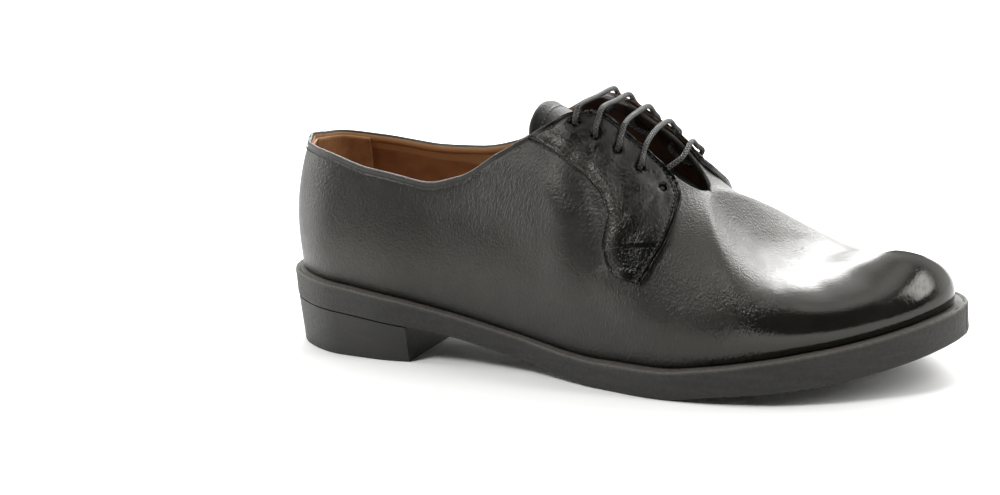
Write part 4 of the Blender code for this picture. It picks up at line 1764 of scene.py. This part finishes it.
SOFT_BOXES = (
    SoftBox("key_softbox", (-0.75, -0.85, 1.5), (0.5, 0.5), 19.0),
    SoftBox("toe_softbox", (1.0, 0.0, 0.85), (0.22, 0.9), 7.0),
    SoftBox("heel_softbox", (-1.3, -0.10, 0.45), (0.30, 0.8), 7.0),
    SoftBox("rear_softbox", (-0.15, 1.30, 0.80), (1.4, 0.6), 28.0),
)


@dataclass
class Studio:
    """A pale floor, soft studio light, and the camera at the photograph's angle."""

    azimuth: float = 26.0
    elevation: float = 15.0
    roll: float = 4.2
    distance: float = 0.800
    focal: float = 69.7
    aim: tuple[float, float, float] = (-0.002, -0.00075, 0.045)
    off_axis_pixels: float = 101.0
    frame_pixels: float = 1000.0
    sensor: float = 36.0
    floor_size: float = 12.0
    room_strength: float = 0.06
    screen_strength: float = 2.1
    screen_colour: Colour = (1.0, 0.995, 0.985)
    overhead: tuple[float, float] = (0.93, 1.0)
    behind: tuple[float, float] = (0.05, 0.45)

    def vectors(self) -> tuple[Vector, Vector, Vector]:
        """Work out how the camera is turned.

        Returns:
            Its right, up and back directions.
        """
        turn, tilt, roll = map(math.radians, (self.azimuth, self.elevation, self.roll))
        right = Vector((math.cos(turn), math.sin(turn), 0.0))
        up = Vector((-math.sin(turn) * math.sin(tilt), math.cos(turn) * math.sin(tilt),
                     math.cos(tilt)))
        back = Vector((math.sin(turn) * math.cos(tilt), -math.cos(turn) * math.cos(tilt),
                       math.sin(tilt)))
        return (right * math.cos(roll) - up * math.sin(roll),
                right * math.sin(roll) + up * math.cos(roll), back)

    def camera(self) -> None:
        """Set the camera."""
        right, up, back = self.vectors()
        data = bpy.data.cameras.new("camera")
        data.lens = self.focal
        data.sensor_width = self.sensor
        data.shift_x = -self.off_axis_pixels / self.frame_pixels
        camera = bpy.data.objects.new("camera", data)
        eye = Vector(self.aim) + back * self.distance
        turned = Matrix((right, up, back)).transposed().to_4x4()
        camera.matrix_world = Matrix.Translation(eye) @ turned
        bpy.context.scene.collection.objects.link(camera)
        bpy.context.scene.camera = camera

    def light(self, box: SoftBox) -> None:
        """Hang one soft box that faces the shoe.

        Args:
            box: Its name, place, size and power.
        """
        data = bpy.data.lights.new(box.name, "AREA")
        data.shape = "RECTANGLE"
        data.size, data.size_y = box.size
        data.energy = box.power
        lamp = bpy.data.objects.new(box.name, data)
        aimed = (Vector(self.aim) - Vector(box.place)).to_track_quat("-Z", "Y").to_matrix().to_4x4()
        lamp.matrix_world = Matrix.Translation(box.place) @ aimed
        bpy.context.scene.collection.objects.link(lamp)

    def floor(self) -> None:
        """Lay the pale floor."""
        bm = bmesh.new()
        bmesh.ops.create_grid(bm, x_segments=4, y_segments=4, size=self.floor_size)
        mesh = bpy.data.meshes.new("floor")
        bm.to_mesh(mesh)
        bm.free()
        build = Shader("pale_floor")
        tone = build.span(build.noise(0.4), *NOISE_SPAN, 0.0, 1.0)
        colour = build.blend(tone, (0.93, 0.93, 0.925), (0.95, 0.95, 0.945))
        build.feed(build.shader, Base_Color=colour, Roughness=0.7)
        mesh.materials.append(build.material)
        floor = bpy.data.objects.new("floor", mesh)
        bpy.context.scene.collection.objects.link(floor)

    @staticmethod
    def ramp(tree: bpy.types.NodeTree, value: bpy.types.NodeSocket,
             reach: tuple[float, float]) -> bpy.types.NodeSocket:
        """Add a smooth step of a value.

        Args:
            tree: The world's node tree.
            value: The value that it follows.
            reach: Where it leaves 0 and where it arrives at 1.

        Returns:
            The step.
        """
        node = tree.nodes.new("ShaderNodeMapRange")
        node.inputs["From Min"].default_value, node.inputs["From Max"].default_value = reach
        node.interpolation_type = "SMOOTHSTEP"
        tree.links.new(value, node.inputs["Value"])
        return node.outputs["Result"]

    def surroundings(self) -> None:
        """Make a bright screen behind and overhead, and a dark room on the camera's side."""
        world = bpy.data.worlds.new("studio")
        world.use_nodes = True
        bpy.context.scene.world = world
        bpy.context.scene.view_settings.view_transform = "Standard"
        tree = world.node_tree
        tree.nodes.clear()
        place = tree.nodes.new("ShaderNodeTexCoord")
        split = tree.nodes.new("ShaderNodeSeparateXYZ")
        tree.links.new(place.outputs["Generated"], split.inputs[0])
        most = tree.nodes.new("ShaderNodeMath")
        most.operation = "MAXIMUM"
        tree.links.new(self.ramp(tree, split.outputs["Z"], self.overhead), most.inputs[0])
        tree.links.new(self.ramp(tree, split.outputs["Y"], self.behind), most.inputs[1])
        strength = tree.nodes.new("ShaderNodeMapRange")
        strength.inputs["To Min"].default_value = self.room_strength
        strength.inputs["To Max"].default_value = self.screen_strength
        tree.links.new(most.outputs[0], strength.inputs["Value"])
        sky = tree.nodes.new("ShaderNodeBackground")
        sky.inputs["Color"].default_value = (*self.screen_colour, 1.0)
        tree.links.new(strength.outputs["Result"], sky.inputs["Strength"])
        out = tree.nodes.new("ShaderNodeOutputWorld")
        tree.links.new(sky.outputs[0], out.inputs["Surface"])

    def build(self) -> None:
        """Set up the studio."""
        self.camera()
        self.floor()
        self.surroundings()
        for box in SOFT_BOXES:
            self.light(box)


def main() -> None:
    """Build the shoe's pieces in the order that a maker would, then the studio."""
    logging.basicConfig(level=logging.INFO, format="%(name)s: %(message)s")
    finishes = Finishes()
    sole = Sole(finishes)
    sole.build_outsole()
    sole.build_heel()
    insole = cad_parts["insole"]
    insole.data.materials.clear()
    insole.data.materials.append(finishes.sock.material())
    LOG.info("insole: carried over with its sock finish")
    Upper(finishes).build()
    HeelGrip(finishes).build()
    tongue = Tongue(finishes)
    tongue.build()
    stitching = Stitching(finishes)
    stitching.topline()
    for side in Side:
        facing = Facing(finishes, side)
        facing.build()
        stitching.sew(f"{facing.name}_stitches", facing.seams())
    stitching.sew("tongue_stitches", [tongue.seam()])
    Lace(finishes).build()
    Studio().build()
    bpy.context.view_layer.update()


if __name__ == "__main__":
    main()
